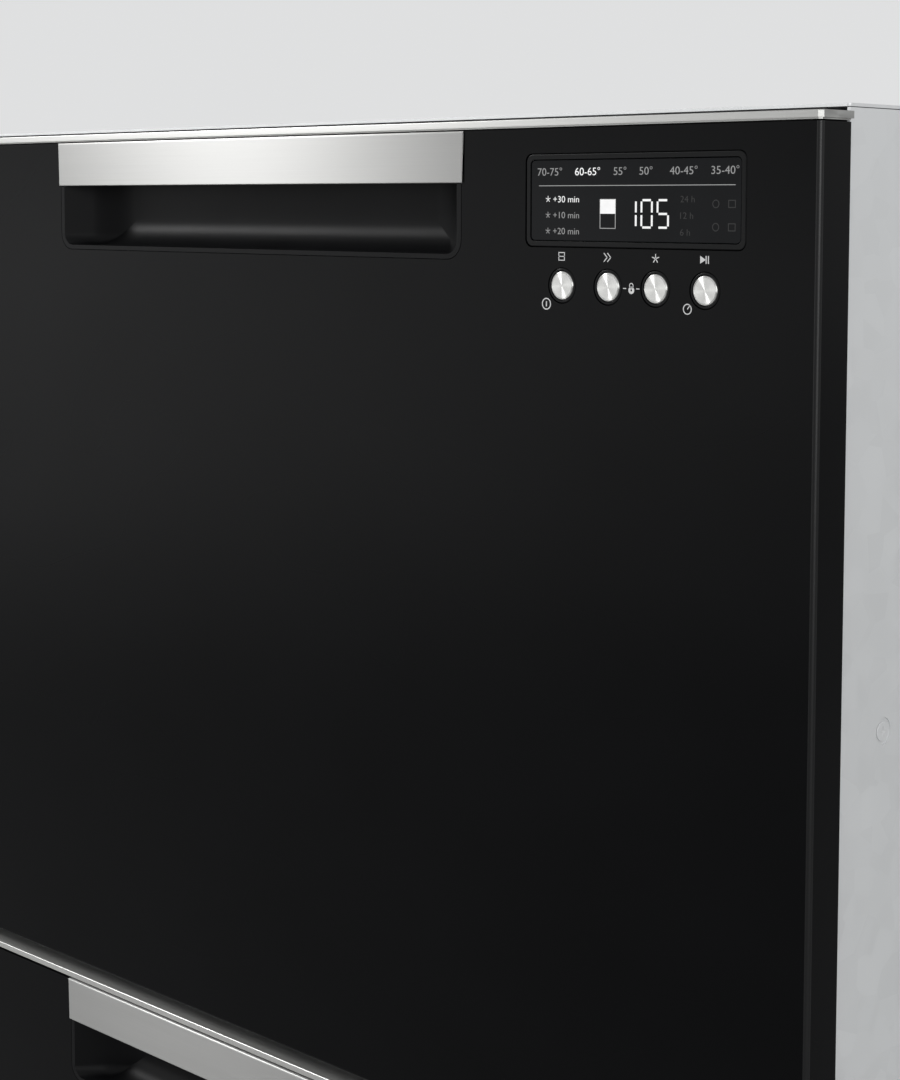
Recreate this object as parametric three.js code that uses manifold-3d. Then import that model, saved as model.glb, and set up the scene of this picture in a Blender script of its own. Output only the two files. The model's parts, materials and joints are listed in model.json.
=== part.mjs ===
// A two-drawer dishwasher: a steel cabinet with two full-width drawers that slide out on
// three-piece telescopic runners. Each drawer carries a wash tub, rack, spray arm, motor and
// detergent cup, and is sealed from above by a lid that stays in the cabinet.
// Millimetres. +X right, the fronts face -Y, +Z up. Origin: floor, middle of the footprint.

import * as THREE from "three";
import { mergeVertices } from "three/addons/utils/BufferGeometryUtils.js";
import Module from "manifold-3d";

// ---------------------------------------------------------------- driving dimensions

// Whole machine
const machineDepth = 573;
const frontWidth = 598;
const frontOverhang = 3; // front past the cabinet's side
const sheet = 1.2;
const seat = 0.3; // gap between pieces that rest on or against each other
const roundSides = 16; // facets round a bore or a turned piece
const cornerFacets = 3; // facets in a small rounded corner
const tubFacets = 4; // facets in a tub corner
const drumSides = 24; // facets round the wash parts
const over = 1; // how far a cut runs past the face it opens

// Drawer fronts
const topTrimDrop = 3; // upper trim below the machine's top
const drawerPitch = 409.7; // upper trim top to lower trim top
const drawerGap = 6.7; // under the upper front
const lowerFrontHeight = 337.3;
const lowerFrontBottom = 70;
const panDepth = 18;
const panEdgeRadius = 1.8;
const panSkin = 1.4;
const innerPanelThickness = 1.5;
const innerPanelMargin = 3;
const gasketGap = 2.1;

// Top trim
const trimFace = 2.6;
const trimLip = 0.6;
const trimLipSetback = 0.8;
const trimEndBevel = 1.6;

// Handle
const handleWidth = 266.4;
const handleTopDrop = 3.8;
const handleBottomDrop = 24;
const handleProud = 0.6;
const handleSheet = 1.4;
const handleTopReturn = 14;
const handleHem = 4;
const recessInset = 1.5; // recess narrower than the strip at each end
const recessBottomDrop = 54.2;
const recessCorner = 8;
const recessDepth = 22;
const recessWall = 1.6;
const recessLip = 2;
const recessBackGap = 0.5; // to the tub's flange behind it

// Display and buttons
const displayInset = 81.9; // display's middle to the front's right edge
const displayDrop = 30.8;
const displayWidth = 102.7;
const displayHeight = 35.1;
const displayCorner = 3.2;
const displayFrame = 2.2;
const pocketCorner = 2;
const windowThickness = 2;
const windowSetback = 0.5;
const buttonCount = 4;
const firstButtonInset = 114.9; // first button to the front's right edge
const buttonPitch = 22.27;
const buttonDrop = 62.8;
const buttonDiameter = 10.7;
const buttonFlange = 1.2;
const buttonTravel = 1.5;
const buttonFlangeReach = 0.9;
const buttonBevel = 0.5;
const collarDiameter = 13.4;
const collarGap = 0.25; // between a button and the bore of its collar
const fasciaPlate = 3;
const fasciaMargin = 6;
const boardThickness = 1.6;

// Lid
const lidTopDrop = 5.3;
const lidThickness = 14;
const lidSkin = 3;
const lidStep = 4;
const lidStepInset = 26;
const lidTravel = 6;
const sealHeight = 5;
const sealWidth = 7;
const sealInset = 1;
const guidePostDiameter = 8;
const guidePostClearance = 0.4;
const guidePostInset = 60;
const guidePostEngagement = 8;
const guideBossWall = 2.5;
const postSides = 10;
const rootDepth = 0.5; // how far a post starts inside the sheet that carries it

// Tub
const tubHeight = 252;
const tubRearGap = 51.5; // tub to the machine's back
const tubWall = 3;
const tubCorner = 40;
const tubFrontGap = 2; // tub wall behind the cabinet's front edge
const flangeReach = 8;
const flangeThickness = 4;
const mountRibInset = 70; // rib's middle to the tub's side
const mountRibWidth = 20;
const mountRibHeight = 150;
const mountRibDrop = 10; // below the finger recess

// Wash system
const motorDiameter = 150;
const motorHeight = 48;
const motorFlange = 8;
const shaftDiameter = 12;
const shaftClearance = 0.4; // in the spray arm's bore
const shaftHoleGap = 2; // in the tub floor and the filter
const shaftCapGap = 4;
const motorWaist = 0.7; // body diameter over flange diameter
const motorChamfer = 5;
const filterGap = 35.5; // filter's rim to the tub's front and back walls
const filterThickness = 1.5;
const filterCollarDiameter = 60;
const filterCollarHeight = 12;
const filterCollarWall = 3;
const filterRim = 6;
const filterRimRise = 1.5;
const sprayTipGap = 25.5; // arm's tip to the tub's front and back walls
const sprayArmWidth = 46;
const sprayArmTip = 26;
const sprayArmThickness = 10;
const sprayHubDiameter = 56;
const sprayHubHeight = 18;
const sprayGap = 0.8;
const sprayHubSkin = 3;
const sprayArmLift = 3; // above the hub's underside

// Rack
const rackSideGap = 17; // rack to the tub's side walls
const rackFrontGap = 64; // room for the detergent cup and its flap
const rackBackGap = 17;
const rackHeight = 150;
const rackLift = 38; // base wires above the tub floor
const rimWire = 5;
const baseWire = 4;
const lengthwiseWires = 7;
const crosswiseWires = 4;
const rackCornerInset = 30;
const weldDepth = 0.8; // crossing wires sink this far into each other
const tineWires = [0, 2, 4]; // which lengthwise wires carry tines, counted from the left
const tinesPerRow = 6;
const tineHeight = 78;
const tinePitch = 40;
const tineGauge = 3;

// Cutlery basket
const basketSideGap = 24; // basket to the rack's right edge
const basketBackGap = 35;
const basketWidth = 72;
const basketLength = 220;
const basketHeight = 120;
const basketWall = 2;
const basketBays = 3;
const basketCorner = 8;
const basketSlots = [-18, 0, 18]; // slots along a bay, from its middle
const basketSlotWidth = 10;
const basketSlotFrom = 24;
const basketSlotTo = 90;

// Detergent cup
const cupX = 130;
const cupWidth = 130;
const cupHeight = 74;
const cupDepth = 22;
const cupDrop = 22; // below the tub rim
const cupWall = 2.5;
const flapWidth = 66;
const flapHeight = 38;
const flapThickness = 2.5;
const flapBarrel = 5;
const flapHingeProud = 0.5; // hinge line in front of the flap's face
const flapInset = 30; // flap's middle left of the cup's
const flapDrop = 14; // below the cup's top
const flapPinDiameter = 2;
const flapPinGap = 0.35;
const cupCorner = 6;
const rinseCapProud = 4;
const rinseCapDiameter = 34;
const rinseCapInset = 38; // rinse cap right of the cup's middle
const lugWidth = 2.4;
const lugHeight = 6;

// Runners
const runnerRearGap = 48.5; // runners to the machine's back
const runnerHeight = 42;
const runnerSheet = 1.4;
const runnerDepth = 12.6;
const runnerGap = 0.4;
const outerLip = 3; // the outer channel's flanges end this far short of the inner web
const middleLip = 2;
const runnerLift = 60; // runner centre above the tub's underside
const runnerPadHeight = 26;
const runnerPadDepth = 11.6;

// Cabinet
const panelThickness = 1.2;
const toeHeight = 66;
const toeBottom = 6;
const toeSetback = 34;
const toeReturn = 14;
const baseZ = 24;
const baseFlange = 20;
const rearFlange = 14;
const shelfRise = 1.8; // middle shelf above the lower trim's top
const braceDepth = 24;
const braceHeight = 24;
const grommetInset = 106; // grommet's middle to the cabinet's left side
const grommetZ = 120;
const grommetWidth = 120;
const grommetHeight = 56;
const grommetLip = 6;
const grommetWall = 4;
const grommetFlat = 1; // straight part in the middle of each round end

// Feet
const footPadDiameter = 38;
const footPadHeight = 13.7;
const footStudDiameter = 8;
const footStudLength = 66;
const footInsetX = 34;
const footInsetFront = 60;
const footInsetRear = 45;
const footBossDiameter = 18;
const footBossHeight = 10;
const footClearance = 0.4;

// ---------------------------------------------------------------- worked-out places

const machineHeight = lowerFrontBottom + lowerFrontHeight + drawerPitch + topTrimDrop;
const halfDepth = machineDepth / 2;
const frontY = -halfDepth + handleProud;
const panBackY = frontY + panDepth;
const innerPanelY = panBackY + seat;
const innerPanelBackY = innerPanelY + innerPanelThickness;
const chassisFrontY = innerPanelBackY + gasketGap;
const chassisHalf = frontWidth / 2 - frontOverhang;
const trimHeight = trimFace + trimLip;
const upperTrimZ = machineHeight - topTrimDrop;
const lowerTrimZ = upperTrimZ - drawerPitch;
const upperFrontHeight = drawerPitch - drawerGap;
const panTopDrop = handleTopDrop;
const recessHalf = handleWidth / 2 - recessInset;

const rimDrop = lidTopDrop + lidThickness + sealHeight + lidTravel + 2 * seat;
const tubBottom = -(rimDrop + tubHeight);
const tubFloor = tubBottom + tubWall;
const tubFrontY = chassisFrontY + tubFrontGap;
const tubBackY = halfDepth - tubRearGap;
const tubMidY = (tubFrontY + tubBackY) / 2;
const tubInnerDepth = tubBackY - tubFrontY - 2 * tubWall;
const runnerZ = tubBottom + runnerLift;
const runnerOuterX = chassisHalf - panelThickness - seat;
const runnerInnerX = runnerOuterX - runnerDepth;
const runnerFrontY = chassisFrontY + tubFrontGap;
const runnerLength = halfDepth - runnerRearGap - runnerFrontY;
const tubHalf = runnerInnerX - seat - runnerPadDepth;
const flangeFrontY = frontY + recessDepth + recessBackGap;
const flangeBackY = tubBackY + flangeReach;
const flangeHalf = tubHalf + flangeReach;

const shelfZ = lowerTrimZ + shelfRise;
const roofZ = machineHeight - panelThickness;
const toeY = chassisFrontY + toeSetback;
const grommetX = grommetInset - chassisHalf;

// ---------------------------------------------------------------- solids

const wasm = await Module();
wasm.setup();

// A closed three.js geometry as a manifold-3d solid.
function solid(geometry) {
  const bare = geometry.clone();
  bare.deleteAttribute("normal");
  bare.deleteAttribute("uv");
  const merged = mergeVertices(bare, 1e-4);
  return new wasm.Manifold(
    new wasm.Mesh({
      numProp: 3,
      vertProperties: new Float32Array(merged.attributes.position.array),
      triVerts: new Uint32Array(merged.index.array),
    }),
  );
}

function geometryOf(body) {
  const mesh = body.getMesh();
  const geometry = new THREE.BufferGeometry();
  geometry.setAttribute("position", new THREE.BufferAttribute(mesh.vertProperties, 3));
  geometry.setIndex(new THREE.BufferAttribute(mesh.triVerts, 1));
  geometry.computeVertexNormals();
  return geometry;
}

// A box between two corners.
function box(x0, x1, y0, y1, z0, z1) {
  const geometry = new THREE.BoxGeometry(x1 - x0, y1 - y0, z1 - z0);
  geometry.translate((x0 + x1) / 2, (y0 + y1) / 2, (z0 + z1) / 2);
  return solid(geometry);
}

function extrusion(shape, length, segments) {
  return new THREE.ExtrudeGeometry(shape, {
    depth: length,
    bevelEnabled: false,
    steps: 1,
    curveSegments: segments,
  });
}

// Shape in X and Y, extruded up from z0 to z1.
function prismZ(shape, z0, z1, segments = cornerFacets) {
  const geometry = extrusion(shape, z1 - z0, segments);
  geometry.translate(0, 0, z0);
  return solid(geometry);
}

// Shape in X and Z, extruded back from y0 to y1.
function prismY(shape, y0, y1, segments = cornerFacets) {
  const geometry = extrusion(shape, y1 - y0, segments);
  geometry.rotateX(Math.PI / 2);
  geometry.translate(0, y1, 0);
  return solid(geometry);
}

// Shape in Y and Z, extruded across from x0 to x1.
function prismX(shape, x0, x1, segments = cornerFacets) {
  const geometry = extrusion(shape, x1 - x0, segments);
  const turn = new THREE.Matrix4().makeBasis(
    new THREE.Vector3(0, 1, 0),
    new THREE.Vector3(0, 0, 1),
    new THREE.Vector3(1, 0, 0),
  );
  geometry.applyMatrix4(turn);
  geometry.translate(x0, 0, 0);
  return solid(geometry);
}

// Upright cylinder.
function post(x, y, z0, z1, diameter, sides = roundSides) {
  const geometry = new THREE.CylinderGeometry(diameter / 2, diameter / 2, z1 - z0, sides);
  geometry.rotateX(Math.PI / 2);
  geometry.translate(x, y, (z0 + z1) / 2);
  return solid(geometry);
}

// Cylinder running front to back.
function plug(x, z, y0, y1, diameter, sides = roundSides) {
  const geometry = new THREE.CylinderGeometry(diameter / 2, diameter / 2, y1 - y0, sides);
  geometry.translate(x, (y0 + y1) / 2, z);
  return solid(geometry);
}

// Cylinder running left to right.
function rod(y, z, x0, x1, diameter, sides = roundSides) {
  const geometry = new THREE.CylinderGeometry(diameter / 2, diameter / 2, x1 - x0, sides);
  geometry.rotateZ(Math.PI / 2);
  geometry.translate((x0 + x1) / 2, y, z);
  return solid(geometry);
}

function polygon(points) {
  return new THREE.Shape(points.map(([a, b]) => new THREE.Vector2(a, b)));
}

// Rectangle with the same radius at all four corners.
function roundedRect(a0, a1, b0, b1, radius) {
  const shape = new THREE.Shape();
  shape.moveTo(a0 + radius, b0);
  shape.lineTo(a1 - radius, b0);
  shape.absarc(a1 - radius, b0 + radius, radius, -Math.PI / 2, 0, false);
  shape.lineTo(a1, b1 - radius);
  shape.absarc(a1 - radius, b1 - radius, radius, 0, Math.PI / 2, false);
  shape.lineTo(a0 + radius, b1);
  shape.absarc(a0 + radius, b1 - radius, radius, Math.PI / 2, Math.PI, false);
  shape.lineTo(a0, b0 + radius);
  shape.absarc(a0 + radius, b0 + radius, radius, Math.PI, Math.PI * 1.5, false);
  return shape;
}

// Rectangle with square top corners and round bottom corners.
function bucketOutline(half, bottom, top, radius) {
  const shape = new THREE.Shape();
  shape.moveTo(-half + radius, bottom);
  shape.lineTo(half - radius, bottom);
  shape.absarc(half - radius, bottom + radius, radius, -Math.PI / 2, 0, false);
  shape.lineTo(half, top);
  shape.lineTo(-half, top);
  shape.lineTo(-half, bottom + radius);
  shape.absarc(-half + radius, bottom + radius, radius, Math.PI, Math.PI * 1.5, false);
  return shape;
}

// Adds a list of solids together.
function join(parts) {
  return parts.reduce((sum, part) => sum.add(part));
}

// ---------------------------------------------------------------- materials

function finish(color, roughness, metalness) {
  return new THREE.MeshStandardMaterial({ color, roughness, metalness });
}

const blackFront = finish(0x15171a, 0.16, 0);
const blackPlastic = finish(0x1b1d20, 0.42, 0);
const brushedSteel = finish(0xbdbdba, 0.34, 1);
const satinTrim = finish(0xb9b9b4, 0.38, 1);
const innerSteel = finish(0x3a3c3f, 0.5, 0.6);
const galvanised = finish(0xa9acae, 0.5, 0.9);
const runnerZinc = finish(0xc2c5c6, 0.32, 1);
const tubPlastic = finish(0xb4b9bd, 0.45, 0);
const lidPlastic = finish(0x9ca2a8, 0.5, 0);
const greyPlastic = finish(0x6d737a, 0.5, 0);
const rackCoat = finish(0x8b929a, 0.4, 0);
const sealRubber = finish(0x2a2c2f, 0.8, 0);
const smokedGlass = finish(0x101214, 0.08, 0);
const boardGreen = finish(0x1f4a34, 0.6, 0);
const filterSteel = finish(0xb6b8b8, 0.3, 1);

function piece(name, body, material, at = [0, 0, 0]) {
  const mesh = new THREE.Mesh(geometryOf(body), material);
  mesh.name = name;
  mesh.position.set(...at);
  return mesh;
}

// ---------------------------------------------------------------- drawer front
// In a drawer's own frame z = 0 is the top of its trim, so drops are negative z.

// Folded steel pan with the notch for the handle; the upper one also has the control holes.
function frontPan(frontHeight, withControls) {
  const half = frontWidth / 2;
  const plan = new THREE.Shape();
  plan.moveTo(-half, panBackY);
  plan.lineTo(-half, frontY + panEdgeRadius);
  const r = panEdgeRadius;
  plan.absarc(-half + r, frontY + r, r, Math.PI, Math.PI * 1.5, false);
  plan.lineTo(half - r, frontY);
  plan.absarc(half - r, frontY + r, r, -Math.PI / 2, 0, false);
  plan.lineTo(half, panBackY);
  const cavity = box(
    -half + panSkin, half - panSkin,
    frontY + panSkin, panBackY + over,
    -frontHeight + panSkin, -panTopDrop - panSkin,
  );
  const notch = prismY(
    bucketOutline(recessHalf + seat, -recessBottomDrop, over, recessCorner),
    frontY - over, frontY + panSkin + over,
  );
  const stripNotch = box(
    -handleWidth / 2 - seat, handleWidth / 2 + seat,
    frontY - over, panBackY + over,
    -handleBottomDrop, over,
  );
  let pan = prismZ(plan, -frontHeight, -panTopDrop).subtract(cavity);
  pan = pan.subtract(notch).subtract(stripNotch);
  if (!withControls) return pan;
  const { left, right, bottom, top } = displayEdges(seat);
  pan = pan.subtract(
    prismY(roundedRect(left, right, bottom, top, displayCorner + seat), frontY - over, frontY + panSkin + over),
  );
  for (const x of buttonPlaces()) {
    const hole = plug(x, -buttonDrop, frontY - over, frontY + panSkin + over, collarDiameter + 2 * seat);
    pan = pan.subtract(hole);
  }
  return pan;
}

// Flat liner that closes the back of the pan, cut out round the finger recess.
function innerPanel(frontHeight) {
  const half = frontWidth / 2 - innerPanelMargin;
  const plate = box(
    -half, half,
    innerPanelY, innerPanelBackY,
    -frontHeight + innerPanelMargin, -trimHeight - seat,
  );
  const cut = prismY(
    bucketOutline(recessHalf + seat, -recessBottomDrop - seat, over, recessCorner),
    innerPanelY - over, innerPanelBackY + over,
  );
  return plate.subtract(cut);
}

// Extruded metal trim along the top edge, with a set-back lower lip and bevelled ends.
function topTrim() {
  const half = frontWidth / 2;
  const profile = polygon([
    [frontY + trimLipSetback, -trimHeight],
    [innerPanelBackY, -trimHeight],
    [innerPanelBackY, 0],
    [frontY + 0.4, 0],
    [frontY, -0.4],
    [frontY, -trimFace],
    [frontY + trimLipSetback, -trimFace],
  ]);
  const bevel = polygon([
    [half + over, frontY - over],
    [half + over, frontY + trimEndBevel],
    [half, frontY + trimEndBevel],
    [half - trimEndBevel, frontY],
    [half - trimEndBevel, frontY - over],
  ]);
  const right = prismZ(bevel, -trimHeight - over, over);
  const left = right.mirror([1, 0, 0]);
  return prismX(profile, -half, half).subtract(right).subtract(left);
}

// Bent steel strip: rounded top edge with a return under the trim, hemmed lower edge.
function handleStrip() {
  const y = -halfDepth;
  const top = -handleTopDrop;
  const bottom = -handleBottomDrop;
  const bend = handleSheet * 0.7;
  const profile = new THREE.Shape();
  profile.moveTo(y, bottom);
  profile.lineTo(y + handleHem, bottom);
  profile.lineTo(y + handleHem, bottom + handleSheet);
  profile.lineTo(y + handleSheet, bottom + handleSheet);
  profile.lineTo(y + handleSheet, top - handleSheet);
  profile.lineTo(y + handleTopReturn, top - handleSheet);
  profile.lineTo(y + handleTopReturn, top);
  profile.lineTo(y + bend, top);
  profile.absarc(y + bend, top - bend, bend, Math.PI / 2, Math.PI, false);
  return prismX(profile, -handleWidth / 2, handleWidth / 2);
}

// Moulded finger recess: a scoop that is deep behind the strip and sweeps out to its lower lip.
function handleRecess() {
  const half = recessHalf;
  const backY = frontY + recessDepth;
  const topZ = -handleTopDrop - handleSheet - 2 * seat;
  const bottomZ = -recessBottomDrop + seat;
  const shell = prismY(bucketOutline(half, bottomZ, topZ, recessCorner - seat), frontY, backY);
  const innerBack = backY - recessWall;
  const scoop = innerBack - frontY;
  const lipZ = bottomZ + recessLip;
  const profile = new THREE.Shape();
  profile.moveTo(frontY - over, lipZ);
  profile.lineTo(frontY, lipZ);
  profile.absarc(frontY, lipZ + scoop, scoop, -Math.PI / 2, 0, false);
  profile.lineTo(innerBack, topZ - recessWall);
  profile.lineTo(frontY - over, topZ - recessWall);
  const hollow = prismX(profile, -half + recessLip, half - recessLip, 7).intersect(
    prismY(
      bucketOutline(half - recessLip, lipZ, topZ, recessCorner - recessLip),
      frontY - over, backY + over,
    ),
  );
  const stripRoom = box(
    -half - over, half + over,
    frontY - over, -halfDepth + handleHem + seat,
    -handleBottomDrop - seat, 0,
  );
  return shell.subtract(hollow).subtract(stripRoom);
}

// ---------------------------------------------------------------- controls

function displayEdges(grow = 0) {
  const displayX = frontWidth / 2 - displayInset;
  return {
    left: displayX - displayWidth / 2 - grow,
    right: displayX + displayWidth / 2 + grow,
    bottom: -displayDrop - displayHeight / 2 - grow,
    top: -displayDrop + displayHeight / 2 + grow,
  };
}

function buttonPlaces() {
  const first = frontWidth / 2 - firstButtonInset;
  return Array.from({ length: buttonCount }, (_, i) => first + i * buttonPitch);
}

// Moulding behind the skin: the display's frame and four collars stand forward of one plate.
function controlFascia() {
  const { left, right, bottom, top } = displayEdges();
  const plateY = frontY + panSkin + seat;
  const plateBottom = -buttonDrop - collarDiameter / 2 - fasciaMargin;
  let body = box(
    left - fasciaMargin, right + fasciaMargin,
    plateY, plateY + fasciaPlate,
    plateBottom, top + fasciaMargin / 2,
  );
  body = body.add(
    prismY(roundedRect(left, right, bottom, top, displayCorner), frontY + 0.2, plateY + over),
  );
  for (const x of buttonPlaces()) {
    body = body.add(plug(x, -buttonDrop, frontY + 0.2, plateY + over, collarDiameter));
  }
  const pocket = roundedRect(
    left + displayFrame, right - displayFrame,
    bottom + displayFrame, top - displayFrame,
    pocketCorner,
  );
  body = body.subtract(prismY(pocket, frontY - over, plateY + fasciaPlate + over));
  for (const x of buttonPlaces()) {
    const bore = buttonDiameter + 2 * collarGap;
    body = body.subtract(plug(x, -buttonDrop, frontY - over, plateY + fasciaPlate + over, bore));
  }
  return body;
}

function displayWindow() {
  const { left, right, bottom, top } = displayEdges(-displayFrame - seat);
  const y = frontY + windowSetback;
  const corner = pocketCorner - seat;
  return prismY(roundedRect(left, right, bottom, top, corner), y, y + windowThickness);
}

// Circuit board with the lamp block that stands behind the window and a switch behind each button.
function displayBoard() {
  const { left, right, bottom, top } = displayEdges(-displayFrame - 2);
  const plateBackY = frontY + panSkin + seat + fasciaPlate;
  const boardY = plateBackY + buttonFlange + buttonTravel + 2 * seat;
  const boardBottom = -buttonDrop - collarDiameter / 2;
  const lampFront = frontY + windowSetback + windowThickness + seat;
  const lampBlock = box(left, right, lampFront, boardY + 0.2, bottom, top);
  const board = box(
    left - displayFrame, right + displayFrame,
    boardY, boardY + boardThickness,
    boardBottom, top,
  );
  const corner = collarDiameter / 2;
  const spacers = [left, right].map((x) =>
    plug(x, boardBottom + corner / 2, plateBackY + seat, boardY + 0.2, corner, 8),
  );
  return join([board, lampBlock, ...spacers]);
}

// Round cap with a slightly domed bevel and a retaining flange at its back.
function pushButton() {
  const radius = buttonDiameter / 2;
  const flangeRadius = radius + buttonFlangeReach;
  const flangeFront = panSkin + seat + fasciaPlate + seat;
  const profile = [
    [0, 0],
    [radius - buttonBevel, 0],
    [radius, buttonBevel],
    [radius, flangeFront],
    [flangeRadius, flangeFront],
    [flangeRadius, flangeFront + buttonFlange],
    [0, flangeFront + buttonFlange],
  ].map(([r, back]) => new THREE.Vector2(r, back));
  return solid(new THREE.LatheGeometry(profile, roundSides));
}

// ---------------------------------------------------------------- wash tub

function tubOutline(grow) {
  const half = tubHalf + grow;
  return roundedRect(
    -half, half,
    tubFrontY - grow, tubBackY + grow,
    tubCorner + grow,
  );
}

function flangeOutline(inset) {
  const half = flangeHalf - inset;
  return roundedRect(
    -half, half,
    flangeFrontY + inset, flangeBackY - inset,
    tubCorner + flangeReach - inset,
  );
}

// Moulded tub: round-cornered walls, rim flange, side pads for the runners, ribs for the front.
function washTub() {
  const rimZ = -rimDrop;
  const padInner = tubHalf - rootDepth;
  const padOuter = runnerInnerX - seat;
  const padZ0 = runnerZ - runnerPadHeight / 2;
  const padZ1 = runnerZ + runnerPadHeight / 2;
  const padY0 = tubFrontY + tubCorner;
  const padY1 = tubBackY - tubCorner;
  const ribX = tubHalf - mountRibInset;
  const ribZ1 = -recessBottomDrop - mountRibDrop;
  const parts = [
    prismZ(tubOutline(0), tubBottom, rimZ, tubFacets),
    prismZ(flangeOutline(0), rimZ - flangeThickness, rimZ, tubFacets),
    box(padInner, padOuter, padY0, padY1, padZ0, padZ1),
    box(-padOuter, -padInner, padY0, padY1, padZ0, padZ1),
  ];
  for (const side of [-1, 1]) {
    parts.push(
      box(
        side * ribX - mountRibWidth / 2, side * ribX + mountRibWidth / 2,
        innerPanelBackY + seat, tubFrontY + over,
        ribZ1 - mountRibHeight, ribZ1,
      ),
    );
  }
  const inside = prismZ(tubOutline(-tubWall), tubFloor, rimZ + over, tubFacets);
  const shaftHole = post(0, tubMidY, tubBottom - over, tubFloor + over, shaftDiameter + 2 * shaftHoleGap);
  return join(parts).subtract(inside).subtract(shaftHole);
}

function washMotor() {
  const topZ = tubBottom - seat;
  const radius = motorDiameter / 2;
  const waist = radius * motorWaist;
  const shaftRadius = shaftDiameter / 2;
  const shaftTop = tubFloor + filterCollarHeight + sprayHubHeight - shaftCapGap;
  const profile = [
    [0, topZ - motorHeight],
    [waist - motorChamfer, topZ - motorHeight],
    [waist, topZ - motorHeight + motorChamfer],
    [waist, topZ - motorFlange - motorChamfer],
    [radius, topZ - motorFlange],
    [radius, topZ],
    [shaftRadius, topZ],
    [shaftRadius, shaftTop],
    [0, shaftTop],
  ].map(([r, z]) => new THREE.Vector2(r, z));
  const geometry = new THREE.LatheGeometry(profile, drumSides);
  geometry.rotateX(Math.PI / 2);
  geometry.translate(0, tubMidY, 0);
  return solid(geometry);
}

// Dished filter plate on the tub floor with a collar round the motor shaft.
function filterPlate() {
  const z = tubFloor + seat;
  const radius = tubInnerDepth / 2 - filterGap;
  const collar = filterCollarDiameter / 2;
  const bore = shaftDiameter / 2 + shaftHoleGap;
  const profile = [
    [collar, z],
    [radius, z],
    [radius, z + filterThickness + filterRimRise],
    [radius - filterRim, z + filterThickness],
    [collar, z + filterThickness],
    [collar, z + filterCollarHeight],
    [bore, z + filterCollarHeight],
    [bore, z + filterCollarHeight - filterCollarWall],
    [collar - filterCollarWall, z + filterCollarHeight - filterCollarWall],
    [collar - filterCollarWall, z],
    [collar, z],
  ].map(([r, h]) => new THREE.Vector2(r, h));
  const geometry = new THREE.LatheGeometry(profile, drumSides);
  geometry.rotateX(Math.PI / 2);
  geometry.translate(0, tubMidY, 0);
  return solid(geometry);
}

// Two tapering arms on a hub that sits over the motor shaft.
function sprayArm() {
  const bottom = tubFloor + seat + filterCollarHeight + sprayGap;
  const half = tubInnerDepth / 2 - sprayTipGap;
  const tip = sprayArmTip / 2;
  const waist = sprayArmWidth / 2;
  const outline = new THREE.Shape();
  outline.moveTo(0, -waist);
  outline.lineTo(half - tip, -tip);
  outline.absarc(half - tip, 0, tip, -Math.PI / 2, Math.PI / 2, false);
  outline.lineTo(0, waist);
  outline.lineTo(-half + tip, tip);
  outline.absarc(-half + tip, 0, tip, Math.PI / 2, Math.PI * 1.5, false);
  const armZ = bottom + sprayArmLift;
  const arms = prismZ(outline, armZ, armZ + sprayArmThickness).translate([0, tubMidY, 0]);
  const hub = post(0, tubMidY, bottom, bottom + sprayHubHeight, sprayHubDiameter);
  const bore = post(
    0, tubMidY,
    bottom - over, bottom + sprayHubHeight - sprayHubSkin,
    shaftDiameter + 2 * shaftClearance,
  );
  return arms.add(hub).subtract(bore);
}

// ---------------------------------------------------------------- rack and basket

// Straight wires of square section, each along one axis.
function wireX(x0, x1, y, z, gauge) {
  return box(x0, x1, y - gauge / 2, y + gauge / 2, z - gauge / 2, z + gauge / 2);
}

function wireY(x, y0, y1, z, gauge) {
  return box(x - gauge / 2, x + gauge / 2, y0, y1, z - gauge / 2, z + gauge / 2);
}

function wireZ(x, y, z0, z1, gauge) {
  return box(x - gauge / 2, x + gauge / 2, y - gauge / 2, y + gauge / 2, z0, z1);
}

function spread(from, to, count) {
  return Array.from({ length: count }, (_, i) => from + ((to - from) * i) / (count - 1));
}

function rackEdges() {
  return {
    half: tubHalf - tubWall - rackSideGap,
    front: tubFrontY + tubWall + rackFrontGap,
    back: tubBackY - tubWall - rackBackGap,
  };
}

function rackRing(z, gauge) {
  const { half, front, back } = rackEdges();
  const frame = box(-half, half, front, back, z - gauge / 2, z + gauge / 2);
  return frame.subtract(
    box(-half + gauge, half - gauge, front + gauge, back - gauge, z - gauge, z + gauge),
  );
}

function rackBaseZ() {
  return tubFloor + rackLift;
}

// Coated wire rack: two rings, upright wires, a crossed base, rows of tines and four legs.
function dishRack() {
  const edges = rackEdges();
  const half = edges.half - rimWire / 2;
  const y0 = edges.front + rimWire / 2;
  const y1 = edges.back - rimWire / 2;
  const base = rackBaseZ();
  const top = base + rackHeight;
  const parts = [rackRing(base, rimWire), rackRing(top, rimWire)];
  const lengthwise = spread(-half + rackCornerInset, half - rackCornerInset, lengthwiseWires);
  for (const x of lengthwise) {
    parts.push(wireY(x, y0, y1, base, baseWire));
    parts.push(wireZ(x, y0, base, top, baseWire));
    parts.push(wireZ(x, y1, base, top, baseWire));
  }
  for (const y of spread(y0 + rackCornerInset, y1 - rackCornerInset, crosswiseWires)) {
    const low = base - baseWire + weldDepth;
    parts.push(wireX(-half, half, y, low, baseWire));
    parts.push(wireZ(-half, y, low, top, baseWire));
    parts.push(wireZ(half, y, low, top, baseWire));
  }
  const firstTine = (y0 + y1) / 2 - ((tinesPerRow - 1) * tinePitch) / 2;
  for (const x of tineWires.map((i) => lengthwise[i]).filter((at) => at !== undefined)) {
    for (let i = 0; i < tinesPerRow; i++) {
      parts.push(wireZ(x, firstTine + i * tinePitch, base, base + tineHeight, tineGauge));
    }
  }
  for (const x of [-half, half]) {
    for (const y of [y0, y1]) {
      parts.push(wireZ(x, y, tubFloor + seat, top, rimWire));
    }
  }
  return join(parts);
}

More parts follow.
